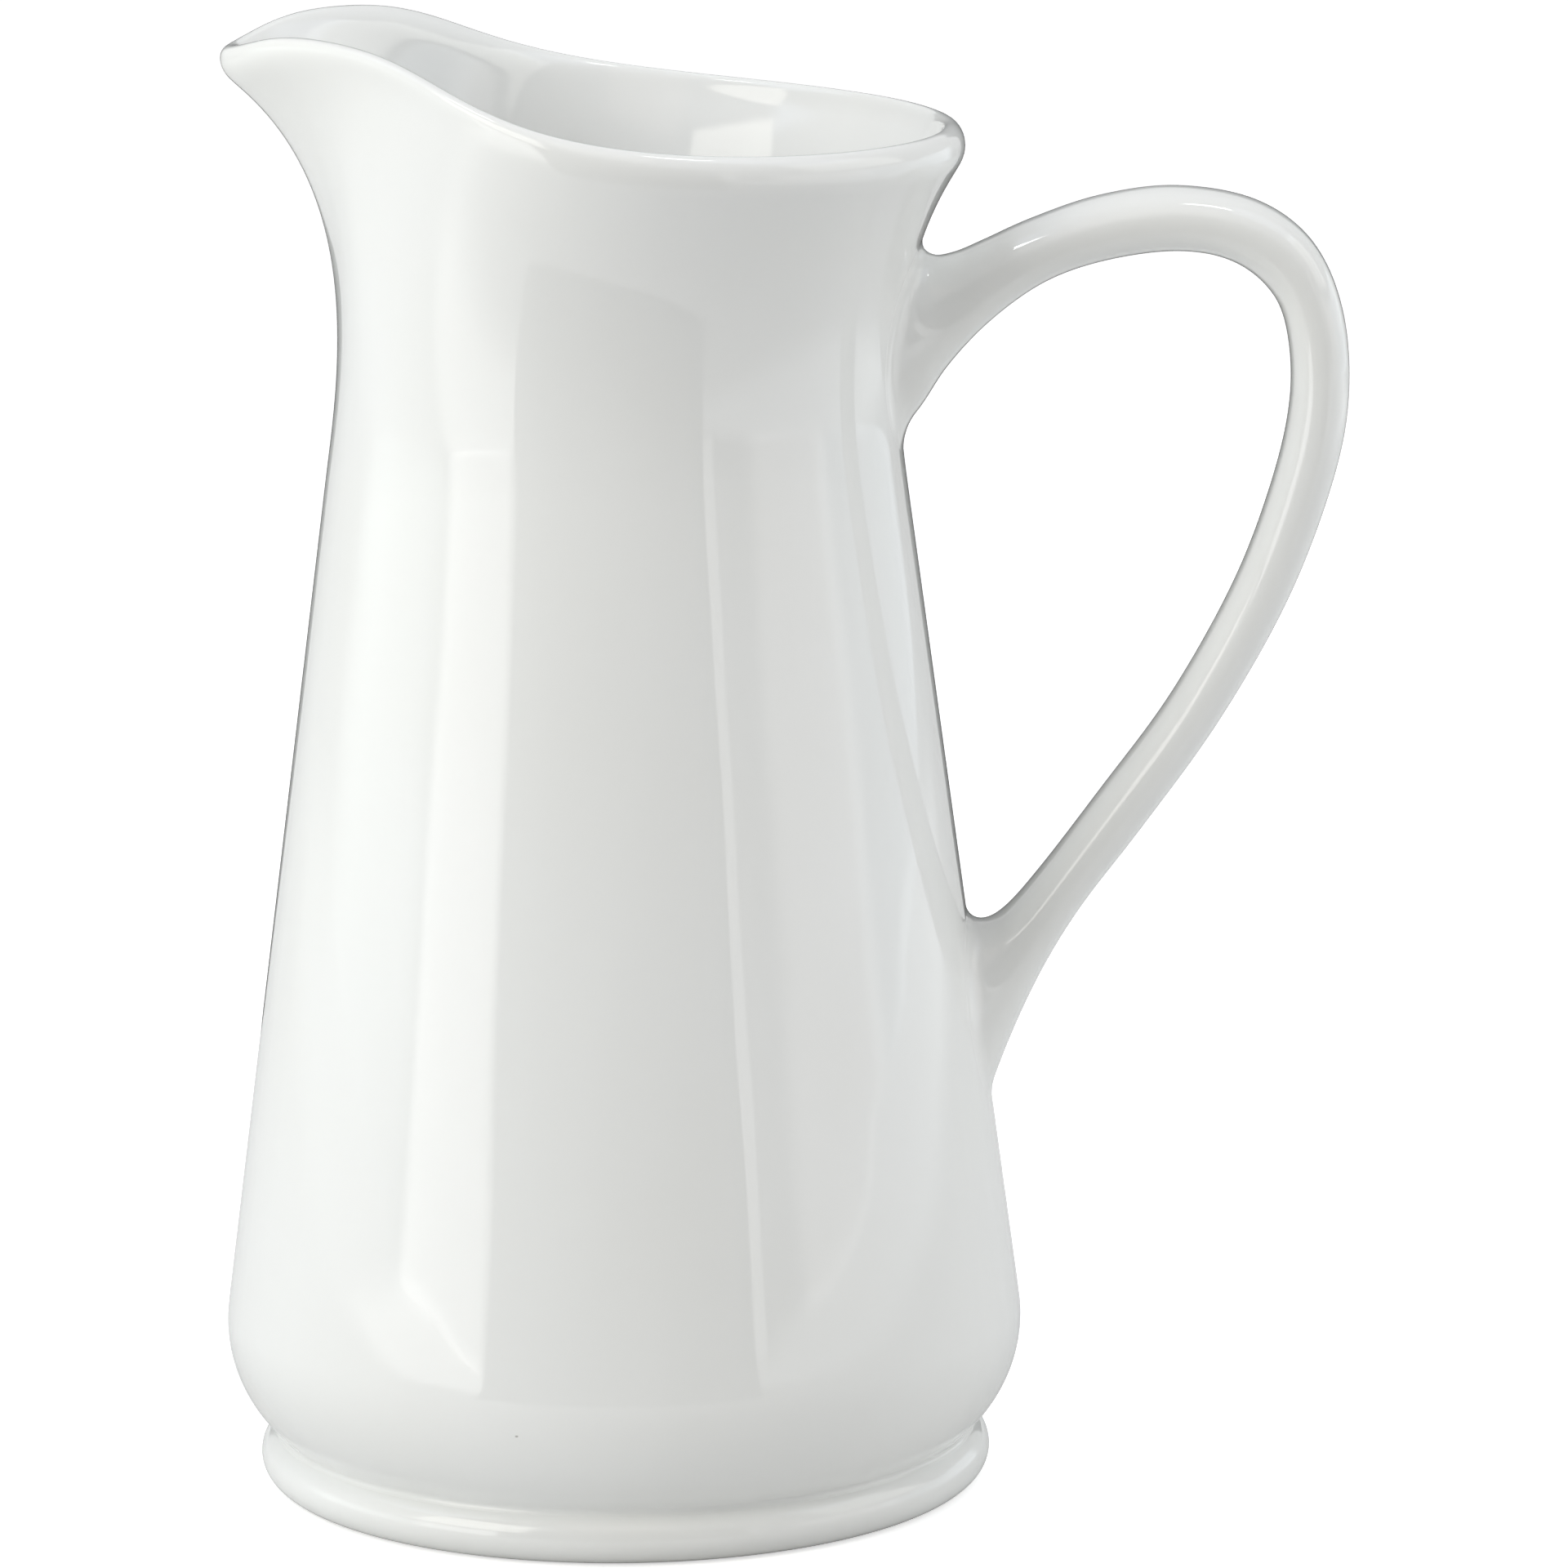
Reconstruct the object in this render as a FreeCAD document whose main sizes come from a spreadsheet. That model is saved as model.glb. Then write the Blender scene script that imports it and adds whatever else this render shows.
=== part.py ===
import FreeCAD, Part
import Sketcher
import math
import os

# A glazed porcelain pitcher with a pulled spout and a strap handle. Millimetres.
# The origin is the centre of the foot, on the standing plane. +Z is up, the spout
# points along -X and the handle along +X, and the XZ plane is the plane of symmetry.

Vector = FreeCAD.Vector

# ---------------------------------------------------------------- driving sizes
SIZES = {
    # foot and floor
    "foot_outer_radius": 57.8,
    "foot_bead_radius": 3.8,
    "foot_neck_arc": 4.4,
    "foot_contact_inner_radius": 51.0,
    "foot_inner_radius": 49.5,
    "foot_height": 8.1,
    "floor_underside": 3.2,
    # belly and cone
    "belly_radius": 62.8,
    "belly_arc": 21.8,
    "belly_height": 25.2,
    "wall_taper_deg": 7.55,
    "neck_height": 160.0,
    "wall_thickness": 4.0,
    "glaze_thickness": 0.3,
    # rim seen from above: a circle that pinches in and runs out to the spout
    "rim_radius": 52.15,
    "spout_reach": 14.5,
    "spout_width_deg": 24.3,
    "spout_sharpness": 1.13,
    "spout_tip_round_deg": 2.5,
    "pinch_depth": 7.5,
    "pinch_width_deg": 68.7,
    "pinch_sharpness": 4.5,
    # rim seen from the side: low at the handle, high at the spout, a drooping tip
    "rim_back_height": 213.9,
    "rim_rise": 16.8,
    "rim_rise_place": 0.322,
    "rim_rise_sharpness": 2.72,
    "tip_droop": 3.4,
    "tip_droop_width_deg": 12.5,
    # lip
    "lip_depth": 5.6,
    "lip_thickness": 4.7,
    "lip_overhang_back": 1.85,
    "lip_overhang_spout": -0.3,
    # radius of the throat just under the lip: at the handle, beside the spout, and
    # how much further in it runs under the spout
    "flare_radius_back": 51.8,
    "flare_radius_side": 45.9,
    "spout_groove": 8.5,
    "spout_groove_width_deg": 30.0,
    # how far each curve of the rim's section holds its direction: up from the neck,
    # down from the lip, on into the lip's round, and out and in from its crown
    "low_pull_back": 32.0,
    "low_pull_spout": 13.5,
    "high_pull_back": 3.6,
    "high_pull_spout": 17.2,
    "lip_pull_back": 2.7,
    "lip_pull_spout": 3.4,
    "crown_pull_back": 1.7,
    "crown_pull_spout": 2.3,
    "crown_inner_pull": 1.4,
    "crown_set_in_spout": 0.4,
    # handle
    "strap_half_width": 8.0,
}

# Stations along the handle: outer edge x, z, inner edge x, z, and how much wider
# than the strap it is there. The first and last lie inside the wall.
HANDLE_STATIONS = [
    (40.0, 195.6, 40.0, 163.0, 1.70),
    (48.0, 193.9, 46.6, 169.4, 1.32),
    (52.5, 194.3, 51.6, 176.8, 1.14),
    (57.6, 196.4, 58.2, 183.8, 1.06),
    (64.6, 199.5, 66.6, 189.8, 1.03),
    (75.0, 203.0, 76.0, 193.1, 1.02),
    (87.0, 204.5, 87.0, 194.5, 1.02),
    (99.5, 202.2, 95.5, 192.9, 1.02),
    (108.3, 195.6, 101.5, 188.2, 1.02),
    (113.0, 184.5, 104.2, 181.6, 1.01),
    (113.8, 170.5, 104.7, 171.2, 1.00),
    (110.9, 156.4, 102.1, 158.6, 1.00),
    (104.2, 138.9, 96.1, 142.2, 0.98),
    (93.7, 120.2, 86.3, 124.3, 0.97),
    (82.0, 103.8, 75.3, 109.2, 0.97),
    (72.6, 91.4, 65.8, 96.6, 0.99),
    (66.6, 81.6, 59.9, 90.0, 1.06),
    (61.6, 71.0, 55.8, 88.4, 1.25),
    (57.0, 59.0, 50.0, 89.0, 1.60),
]
UPPER_CUT_STATION = 3
LOWER_CUT_STATION = 15

RING_POINTS = 96
SECTION_POINTS = 24
OVAL_POWER = 2.3
OUTSIDE_POINTS = 12
LIP_POINTS = 4


def fill_sheet(doc):
    """Write the driving sizes into a spreadsheet, one named cell to a row."""
    sheet = doc.addObject("Spreadsheet::Sheet", "dims")
    for row, (name, value) in enumerate(SIZES.items(), start=1):
        sheet.set(f"A{row}", name)
        sheet.set(f"B{row}", str(value))
        sheet.setAlias(f"B{row}", name)
    doc.recompute()
    return sheet


def plane_of(body, role):
    """The body's own origin plane with this role."""
    return next(item for item in body.Origin.OriginFeatures if item.Role == role)


def new_body(doc, name):
    """An empty body with a sketch on its XZ plane."""
    body = doc.addObject("PartDesign::Body", name)
    body.Label = name
    sketch = body.newObject("Sketcher::SketchObject", name + "_profile")
    sketch.AttachmentSupport = [(plane_of(body, "XZ_Plane"), "")]
    sketch.MapMode = "FlatFace"
    return body, sketch


def bind(sketch, constraint, name, expression):
    """Add a named constraint and bind it to the spreadsheet."""
    index = sketch.addConstraint(constraint)
    sketch.renameConstraint(index, name)
    sketch.setExpression("Constraints." + name, expression)
    return index


def pin_point(sketch, edge, end, name, start, radius, height):
    """Fix one end of an edge at (radius, height), given as expressions."""
    x, z = start
    if radius == "0":
        sketch.addConstraint(Sketcher.Constraint("PointOnObject", edge, end, -2))
    else:
        bind(sketch, Sketcher.Constraint("DistanceX", -1, 1, edge, end, x), name + "_x", radius)
    if height == "0":
        sketch.addConstraint(Sketcher.Constraint("PointOnObject", edge, end, -1))
    else:
        bind(sketch, Sketcher.Constraint("DistanceY", -1, 1, edge, end, z), name + "_z", height)


def add_line(sketch, start, end):
    """A straight edge."""
    return sketch.addGeometry(Part.LineSegment(Vector(*start, 0), Vector(*end, 0)), False)


def add_arc(sketch, centre, radius, start_deg, end_deg):
    """An arc that runs anticlockwise from start to end."""
    circle = Part.Circle(Vector(*centre, 0), Vector(0, 0, 1), radius)
    arc = Part.ArcOfCircle(circle, math.radians(start_deg), math.radians(end_deg))
    return sketch.addGeometry(arc, False)


def join(sketch, first, first_end, second, second_end):
    """Make two edges meet."""
    sketch.addConstraint(Sketcher.Constraint("Coincident", first, first_end, second, second_end))


def smooth(sketch, first, first_end, second, second_end):
    """Make two edges meet and run on in the same direction."""
    sketch.addConstraint(Sketcher.Constraint("Tangent", first, first_end, second, second_end))


def revolve(body, sketch):
    """Turn the profile all the way round the Z axis."""
    turn = body.newObject("PartDesign::Revolution", body.Name + "_turn")
    turn.Profile = sketch
    turn.ReferenceAxis = (sketch, ["V_Axis"])
    turn.Angle = 360
    body.Tip = turn


# ------------------------------------------------------------- turned pieces
def foot_ring(doc, size):
    """The bead-shaped ring that the pitcher stands on."""
    body, sketch = new_body(doc, "foot_ring")
    bead = size["foot_bead_radius"]
    outer = size["foot_outer_radius"]
    neck = size["foot_neck_arc"]
    top = size["foot_height"]
    inner = size["foot_inner_radius"]
    contact = size["foot_contact_inner_radius"]
    curl = contact - inner
    neck_angle = math.degrees(math.asin((top - bead) / neck))
    neck_x = outer - neck + neck * math.cos(math.radians(neck_angle))
    low_arc = add_arc(sketch, (outer - bead, bead), bead, -90, 0)
    high_arc = add_arc(sketch, (outer - neck, bead), neck, 0, neck_angle)
    lid = add_line(sketch, (neck_x, top), (inner, top))
    side = add_line(sketch, (inner, top), (inner, curl))
    inner_arc = add_arc(sketch, (contact, curl), curl, 180, 270)
    tread = add_line(sketch, (contact, 0), (outer - bead, 0))
    smooth(sketch, low_arc, 2, high_arc, 1)
    join(sketch, high_arc, 2, lid, 1)
    join(sketch, lid, 2, side, 1)
    smooth(sketch, side, 2, inner_arc, 1)
    smooth(sketch, inner_arc, 2, tread, 1)
    smooth(sketch, tread, 2, low_arc, 1)
    bind(sketch, Sketcher.Constraint("DistanceX", -1, 1, low_arc, 3, outer - bead), "bead_centre",
         "dims.foot_outer_radius - dims.foot_bead_radius")
    bind(sketch, Sketcher.Constraint("Radius", low_arc, bead), "bead", "dims.foot_bead_radius")
    bind(sketch, Sketcher.Constraint("DistanceY", -1, 1, high_arc, 3, bead), "neck_centre",
         "dims.foot_bead_radius")
    bind(sketch, Sketcher.Constraint("Radius", high_arc, neck), "neck", "dims.foot_neck_arc")
    sketch.addConstraint(Sketcher.Constraint("Horizontal", lid))
    pin_point(sketch, lid, 2, "lid", (inner, top), "dims.foot_inner_radius", "dims.foot_height")
    sketch.addConstraint(Sketcher.Constraint("Vertical", side))
    bind(sketch, Sketcher.Constraint("DistanceX", -1, 1, inner_arc, 3, contact), "curl",
         "dims.foot_contact_inner_radius")
    sketch.addConstraint(Sketcher.Constraint("Horizontal", tread))
    sketch.addConstraint(Sketcher.Constraint("PointOnObject", tread, 1, -1))
    revolve(body, sketch)
    return body


def wall_line_start(size, arc_radius):
    """Where the cone leaves the belly arc."""
    taper = math.radians(size["wall_taper_deg"])
    centre = size["belly_radius"] - size["belly_arc"]
    return (centre + arc_radius * math.cos(taper), size["belly_height"] + arc_radius * math.sin(taper))


def wall_radius(size, arc_radius, height):
    """Radius of the cone that is tangent to a belly arc of this radius."""
    x, z = wall_line_start(size, arc_radius)
    return x - (height - z) * math.tan(math.radians(size["wall_taper_deg"]))


def belly_radius_at(size, arc_radius, height):
    """Radius of the belly arc below its widest place."""
    centre = size["belly_radius"] - size["belly_arc"]
    return centre + math.sqrt(arc_radius ** 2 - (height - size["belly_height"]) ** 2)


def wall_edges(sketch, size, name, inset, start_deg, low_height):
    """The belly arc and the cone line of a surface that lies inset into the wall."""
    arc_radius = size["belly_arc"] - inset[0]
    centre = (size["belly_radius"] - size["belly_arc"], size["belly_height"])
    top = size["neck_height"]
    taper = size["wall_taper_deg"]
    arc = add_arc(sketch, centre, arc_radius, start_deg, taper)
    line = add_line(sketch, wall_line_start(size, arc_radius), (wall_radius(size, arc_radius, top), top))
    pin_point(sketch, arc, 3, name + "_centre", centre,
              "dims.belly_radius - dims.belly_arc", "dims.belly_height")
    bind(sketch, Sketcher.Constraint("Radius", arc, arc_radius), name + "_arc", "dims.belly_arc" + inset[1])
    smooth(sketch, arc, 2, line, 1)
    bind(sketch, Sketcher.Constraint("Angle", -2, 1, line, 1, math.radians(taper)),
         name + "_taper", "dims.wall_taper_deg * 1 deg")
    bind(sketch, Sketcher.Constraint("DistanceY", -1, 1, line, 2, top), name + "_top", "dims.neck_height")
    if low_height is not None:
        bind(sketch, Sketcher.Constraint("DistanceY", -1, 1, arc, 1, size[low_height]),
             name + "_low", "dims." + low_height)
    return arc, line


def start_angle(size, arc_radius, height):
    """The angle at which the belly arc starts at this height."""
    return math.degrees(math.asin((height - size["belly_height"]) / arc_radius))


def outer_inset(size, layers):
    """How far a surface lies inside the finished outside, as a number and an expression."""
    return (size["glaze_thickness"] * layers, f" - dims.glaze_thickness * {layers}")


def inner_inset(size, layers):
    """How far a surface on the hollow side lies inside the finished outside."""
    depth = size["wall_thickness"] - size["glaze_thickness"] * layers
    return (depth, f" - dims.wall_thickness + dims.glaze_thickness * {layers}")


def vessel_body(doc, size):
    """Floor, belly and cone of clay, without their glaze."""
    body, sketch = new_body(doc, "vessel_body")
    outer = outer_inset(size, 1)
    inner = inner_inset(size, 1)
    outer_radius = size["belly_arc"] - outer[0]
    inner_radius = size["belly_arc"] - inner[0]
    centre_x = size["belly_radius"] - size["belly_arc"]
    top = size["neck_height"]
    low = size["foot_height"]
    under = size["floor_underside"]
    step = size["foot_inner_radius"]
    floor = size["belly_height"] - inner_radius
    low_x = belly_radius_at(size, outer_radius, low)
    outer_arc, outer_line = wall_edges(sketch, size, "outside", outer,
                                       start_angle(size, outer_radius, low), "foot_height")
    inner_arc, inner_line = wall_edges(sketch, size, "inside", inner, -90, None)
    lip = add_line(sketch, (wall_radius(size, outer_radius, top), top),
                   (wall_radius(size, inner_radius, top), top))
    floor_line = add_line(sketch, (centre_x, floor), (0, floor))
    axis_line = add_line(sketch, (0, floor), (0, under))
    under_line = add_line(sketch, (0, under), (step, under))
    step_line = add_line(sketch, (step, under), (step, low))
    seat_line = add_line(sketch, (step, low), (low_x, low))
    join(sketch, outer_line, 2, lip, 1)
    join(sketch, lip, 2, inner_line, 2)
    smooth(sketch, inner_arc, 1, floor_line, 1)
    join(sketch, floor_line, 2, axis_line, 1)
    join(sketch, axis_line, 2, under_line, 1)
    join(sketch, under_line, 2, step_line, 1)
    join(sketch, step_line, 2, seat_line, 1)
    join(sketch, seat_line, 2, outer_arc, 1)
    sketch.addConstraint(Sketcher.Constraint("Horizontal", floor_line))
    sketch.addConstraint(Sketcher.Constraint("PointOnObject", floor_line, 2, -2))
    pin_point(sketch, axis_line, 2, "under", (0, under), "0", "dims.floor_underside")
    sketch.addConstraint(Sketcher.Constraint("Horizontal", under_line))
    pin_point(sketch, step_line, 2, "step", (step, low), "dims.foot_inner_radius", "dims.foot_height")
    sketch.addConstraint(Sketcher.Constraint("Vertical", step_line))
    revolve(body, sketch)
    return body


def outside_glaze(doc, size):
    """The glass coat on the outside of the belly and cone."""
    body, sketch = new_body(doc, "outside_glaze")
    top = size["neck_height"]
    low = size["foot_height"]
    faces = []
    for name, layers in (("skin", 0), ("clay", 1)):
        inset = outer_inset(size, layers)
        radius = size["belly_arc"] - inset[0]
        faces.append((radius, wall_edges(sketch, size, name, inset, start_angle(size, radius, low), "foot_height")))
    (skin_radius, (skin_arc, skin_line)), (clay_radius, (clay_arc, clay_line)) = faces
    lid = add_line(sketch, (wall_radius(size, skin_radius, top), top), (wall_radius(size, clay_radius, top), top))
    hem = add_line(sketch, (belly_radius_at(size, clay_radius, low), low),
                   (belly_radius_at(size, skin_radius, low), low))
    join(sketch, skin_line, 2, lid, 1)
    join(sketch, lid, 2, clay_line, 2)
    join(sketch, hem, 1, clay_arc, 1)
    join(sketch, hem, 2, skin_arc, 1)
    revolve(body, sketch)
    return body


def inside_glaze(doc, size):
    """The glass coat on the floor and on the inside of the wall."""
    body, sketch = new_body(doc, "inside_glaze")
    top = size["neck_height"]
    centre_x = size["belly_radius"] - size["belly_arc"]
    parts = []
    for name, layers in (("clay", 1), ("skin", 0)):
        inset = inner_inset(size, layers)
        radius = size["belly_arc"] - inset[0]
        arc, line = wall_edges(sketch, size, name, inset, -90, None)
        floor = size["belly_height"] - radius
        base = add_line(sketch, (centre_x, floor), (0, floor))
        smooth(sketch, arc, 1, base, 1)
        sketch.addConstraint(Sketcher.Constraint("Horizontal", base))
        sketch.addConstraint(Sketcher.Constraint("PointOnObject", base, 2, -2))
        parts.append((radius, floor, line, base))
    (clay_radius, clay_floor, clay_line, clay_base), (skin_radius, skin_floor, skin_line, skin_base) = parts
    lid = add_line(sketch, (wall_radius(size, clay_radius, top), top), (wall_radius(size, skin_radius, top), top))
    axis_line = add_line(sketch, (0, clay_floor), (0, skin_floor))
    join(sketch, clay_line, 2, lid, 1)
    join(sketch, lid, 2, skin_line, 2)
    join(sketch, clay_base, 2, axis_line, 1)
    join(sketch, axis_line, 2, skin_base, 2)
    revolve(body, sketch)
    return body


# --------------------------------------------------------- rim with the spout
def rim_plan(size, turn):
    """Radius of the top of the lip at an angle in degrees from the spout."""
    soft = math.hypot(turn, size["spout_tip_round_deg"]) - size["spout_tip_round_deg"]
    reach = size["spout_reach"] * math.exp(-(soft / size["spout_width_deg"]) ** size["spout_sharpness"])
    pinch = size["pinch_depth"] * math.exp(-(turn / size["pinch_width_deg"]) ** size["pinch_sharpness"])
    return size["rim_radius"] + reach - pinch


def spout_share(size, turn):
    """How much the rim belongs to the spout: 1 at the spout, falling to 0 at the handle."""
    place = (1 - math.cos(math.radians(turn))) / 2
    return 1 / (1 + (place / size["rim_rise_place"]) ** size["rim_rise_sharpness"])


def rim_height(size, turn):
    """Height of the top of the lip at an angle in degrees from the spout."""
    droop = size["tip_droop"] * math.exp(-(turn / size["tip_droop_width_deg"]) ** 2)
    return size["rim_back_height"] + size["rim_rise"] * spout_share(size, turn) - droop


def bezier(points, count):
    """Points along a cubic Bezier curve in the meridian plane, without its last point."""
    found = []
    for step in range(count):
        t = step / count
        weights = ((1 - t) ** 3, 3 * t * (1 - t) ** 2, 3 * t * t * (1 - t), t ** 3)
        found.append(tuple(sum(w * p[axis] for w, p in zip(weights, points)) for axis in (0, 1)))
    return found


def from_back_to_spout(size, name, share):
    """A size that changes from the rim's back to its spout."""
    back = size[name + "_back"]
    return back + share * (size[name + "_spout"] - back)


def meridian(size, turn, inset):
    """The rim's section at one angle: up the outside, over the lip and down the inside.

    The outer and inner surfaces lie inset into the wall, the lip's top lies inset lower.
    """
    radius = rim_plan(size, turn)
    height = rim_height(size, turn)
    share = spout_share(size, turn)
    overhang = from_back_to_spout(size, "lip_overhang", share)
    neck = size["neck_height"]
    taper = math.tan(math.radians(size["wall_taper_deg"]))
    edge = (radius + overhang, height - size["lip_depth"])
    low_pull = from_back_to_spout(size, "low_pull", share)
    high_pull = from_back_to_spout(size, "high_pull", share)
    lip_pull = from_back_to_spout(size, "lip_pull", share)
    crown_pull = from_back_to_spout(size, "crown_pull", share)
    groove = size["spout_groove"] * math.exp(-(turn / size["spout_groove_width_deg"]) ** 2)
    spout_side = size["flare_radius_side"] - groove
    throat = size["flare_radius_back"] + share * (spout_side - size["flare_radius_back"])
    slope = (edge[0] - throat) / high_pull
    unit = math.hypot(1, slope)
    outer_edge = (edge[0] - inset / unit, edge[1] + inset * slope / unit)
    reach = size["lip_thickness"] - inset
    inner_edge = (edge[0] - reach / unit, edge[1] + reach * slope / unit)
    crown = (radius - size["crown_set_in_spout"] * share, height - inset)
    outer_foot = wall_radius(size, size["belly_arc"] - inset, neck)
    inner_foot = wall_radius(size, size["belly_arc"] - size["wall_thickness"] + inset, neck)
    outside = bezier([(outer_foot, neck), (outer_foot - taper * low_pull, neck + low_pull),
                      (outer_edge[0] - slope * high_pull, outer_edge[1] - high_pull), outer_edge],
                     OUTSIDE_POINTS)
    over = bezier([outer_edge, (outer_edge[0] + slope * lip_pull / unit, outer_edge[1] + lip_pull / unit),
                   (crown[0] + crown_pull, crown[1]), crown], LIP_POINTS)
    back = bezier([crown, (crown[0] - size["crown_inner_pull"], crown[1]),
                   (inner_edge[0] + slope * lip_pull / unit, inner_edge[1] + lip_pull / unit), inner_edge],
                  LIP_POINTS)
    inside = bezier([inner_edge, (inner_edge[0] - slope * high_pull, inner_edge[1] - high_pull),
                     (inner_foot - taper * low_pull, neck + low_pull), (inner_foot, neck)],
                    OUTSIDE_POINTS)
    return outside + over + back + inside + [(inner_foot, neck)]


def chord_parameters(rings):
    """A parameter for each ring, growing with the mean distance from the one before."""
    parameters = [0.0]
    for before, after in zip(rings, rings[1:]):
        gap = sum(p.distanceToPoint(q) for p, q in zip(before, after)) / len(after)
        parameters.append(parameters[-1] + gap)
    return [value / parameters[-1] for value in parameters]


def skin(rings):
    """One smooth face through closed rings of points, periodic round each ring."""
    count = len(rings[0])
    loops = []
    for ring in rings:
        loop = Part.BSplineCurve()
        loop.interpolate(Points=ring, PeriodicFlag=True, Parameters=[float(k) for k in range(count + 1)])
        loops.append(loop)
    parameters = chord_parameters(rings)
    poles = []
    for column in zip(*(loop.getPoles() for loop in loops)):
        rail = Part.BSplineCurve()
        rail.interpolate(Points=list(column), Parameters=parameters)
        poles.append(rail.getPoles())
    surface = Part.BSplineSurface()
    surface.buildFromPolesMultsKnots(poles, loops[0].getMultiplicities(), rail.getMultiplicities(),
                                     loops[0].getKnots(), rail.getKnots(), True, False, 3, 3)
    return surface.toShape()


def end_rings(face):
    """The two closed edges of a skin, the first ring's first."""
    low, high = face.Surface.bounds()[2:]
    rings = [edge for edge in face.Edges if not edge.isSeam(face)]
    start = face.Surface.value(0, low)
    rings.sort(key=lambda edge: edge.distToShape(Part.Vertex(start))[0])
    return Part.Wire([rings[0]]), Part.Wire([rings[-1]])


def tube_solid(rings):
    """A solid with a skin through rings, closed by a flat face at each end."""
    face = skin(rings)
    start, end = end_rings(face)
    return solid_from([face, Part.Face(start), Part.Face(end)])


def rim_skin(size, inset):
    """The rim's whole surface, from the outer neck ring over the lip to the inner one."""
    step = 360.0 / RING_POINTS
    sections = []
    for index in range(RING_POINTS):
        turn = index * step
        from_spout = min(turn, 360.0 - turn)
        angle = math.radians(180.0 - turn)
        sections.append([Vector(r * math.cos(angle), r * math.sin(angle), z)
                         for r, z in meridian(size, from_spout, inset)])
    return skin([list(ring) for ring in zip(*sections)])


def solid_from(faces):
    """A closed solid sewn from faces."""
    shell = Part.makeShell(faces)
    shell.sewShape()
    solid = Part.makeSolid(Part.Shell(shell.Faces))
    if solid.Volume < 0:
        solid.reverse()
    return solid


def annulus(outer, inner):
    """A flat ring-shaped face."""
    return Part.makeFace([outer, inner], "Part::FaceMakerBullseye")


def make_feature(doc, name, shape):
    """A sub-part whose shape is set from code."""
    feature = doc.addObject("Part::Feature", name)
    feature.Label = name
    feature.Shape = shape
    feature.Placement = FreeCAD.Placement()
    return feature


def rim_pieces(doc, size):
    """The clay rim with its spout, and the glaze that wraps over it."""
    finished = rim_skin(size, 0.0)
    clay = rim_skin(size, size["glaze_thickness"])
    finished_outer, finished_inner = end_rings(finished)
    clay_outer, clay_inner = end_rings(clay)
    rim = make_feature(doc, "pouring_rim", solid_from([clay, annulus(clay_outer, clay_inner)]))
    coat_faces = [finished, clay, annulus(finished_outer, clay_outer), annulus(clay_inner, finished_inner)]
    coat = make_feature(doc, "rim_glaze", solid_from(coat_faces))
    return rim, coat


def rim_envelope(size):
    """The solid space inside the finished outside of neck and rim, up to a flat cut."""
    step = 360.0 / RING_POINTS
    sections = []
    for index in range(RING_POINTS):
        turn = index * step
        angle = math.radians(180.0 - turn)
        sections.append([Vector(r * math.cos(angle), r * math.sin(angle), z)
                         for r, z in meridian(size, min(turn, 360.0 - turn), 0.0)[:OUTSIDE_POINTS]])
    rings = [list(ring) for ring in zip(*sections)]
    middle = sum((point.z for point in rings[-1])) / RING_POINTS
    top = [Vector(point.x * 0.2, point.y * 0.2, middle) for point in rings[-1]]
    return tube_solid(rings + [top])


def body_envelope(size):
    """The solid space inside the finished outside of belly and cone."""
    radius = size["belly_arc"]
    low = size["foot_height"]
    top = size["neck_height"]
    centre = Vector(size["belly_radius"] - radius, 0, size["belly_height"])
    start = Vector(belly_radius_at(size, radius, low), 0, low)
    widest = Vector(size["belly_radius"], 0, size["belly_height"])
    x, z = wall_line_start(size, radius)
    tangent = Vector(x, 0, z)
    mouth = Vector(wall_radius(size, radius, top), 0, top)
    middle = centre + Vector(math.cos(-0.4), 0, math.sin(-0.4)) * radius
    edges = [Part.Arc(start, middle, widest).toShape(),
             Part.Arc(widest, centre + Vector(math.cos(0.06), 0, math.sin(0.06)) * radius, tangent).toShape(),
             Part.LineSegment(tangent, mouth).toShape(),
             Part.LineSegment(mouth, Vector(0, 0, top)).toShape(),
             Part.LineSegment(Vector(0, 0, top), Vector(0, 0, low)).toShape(),
             Part.LineSegment(Vector(0, 0, low), start).toShape()]
    return Part.Face(Part.Wire(edges)).revolve(Vector(0, 0, 0), Vector(0, 0, 1), 360)


# ------------------------------------------------------------------- handle
def handle_section(size, station, inset):
    """Points of a closed oval across the strap at one station."""
    outer = Vector(station[0], 0, station[1])
    inner = Vector(station[2], 0, station[3])
    centre = (outer + inner) * 0.5
    half = (outer - inner) * 0.5
    across = half.normalize() * (outer.distanceToPoint(inner) / 2 - inset)
    wide = Vector(0, size["strap_half_width"] * station[4] - inset, 0)
    points = []
    for index in range(SECTION_POINTS):
        angle = 2 * math.pi * index / SECTION_POINTS
        cosine = math.cos(angle)
        sine = math.sin(angle)
        up = math.copysign(abs(cosine) ** (2 / OVAL_POWER), cosine)
        side = math.copysign(abs(sine) ** (2 / OVAL_POWER), sine)
        points.append(centre + across * up + wide * side)
    return points


def whole_handle(size, inset):
    """The strap from inside the neck to inside the belly, as one solid."""
    return tube_solid([handle_section(size, station, inset) for station in HANDLE_STATIONS])


def cut_box(station, outward):
    """A large box on one side of the plane across the strap at a station."""
    outer = Vector(station[0], 0, station[1])
    inner = Vector(station[2], 0, station[3])
    box = Part.makeBox(60, 80, 60, Vector(0, -40, -30))
    across = outer - inner
    normal = across.cross(Vector(0, 1, 0))
    if normal.dot(outward) < 0:
        normal = normal * -1
    box.Placement = FreeCAD.Placement((outer + inner) * 0.5, FreeCAD.Rotation(Vector(1, 0, 0), normal))
    return box


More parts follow.
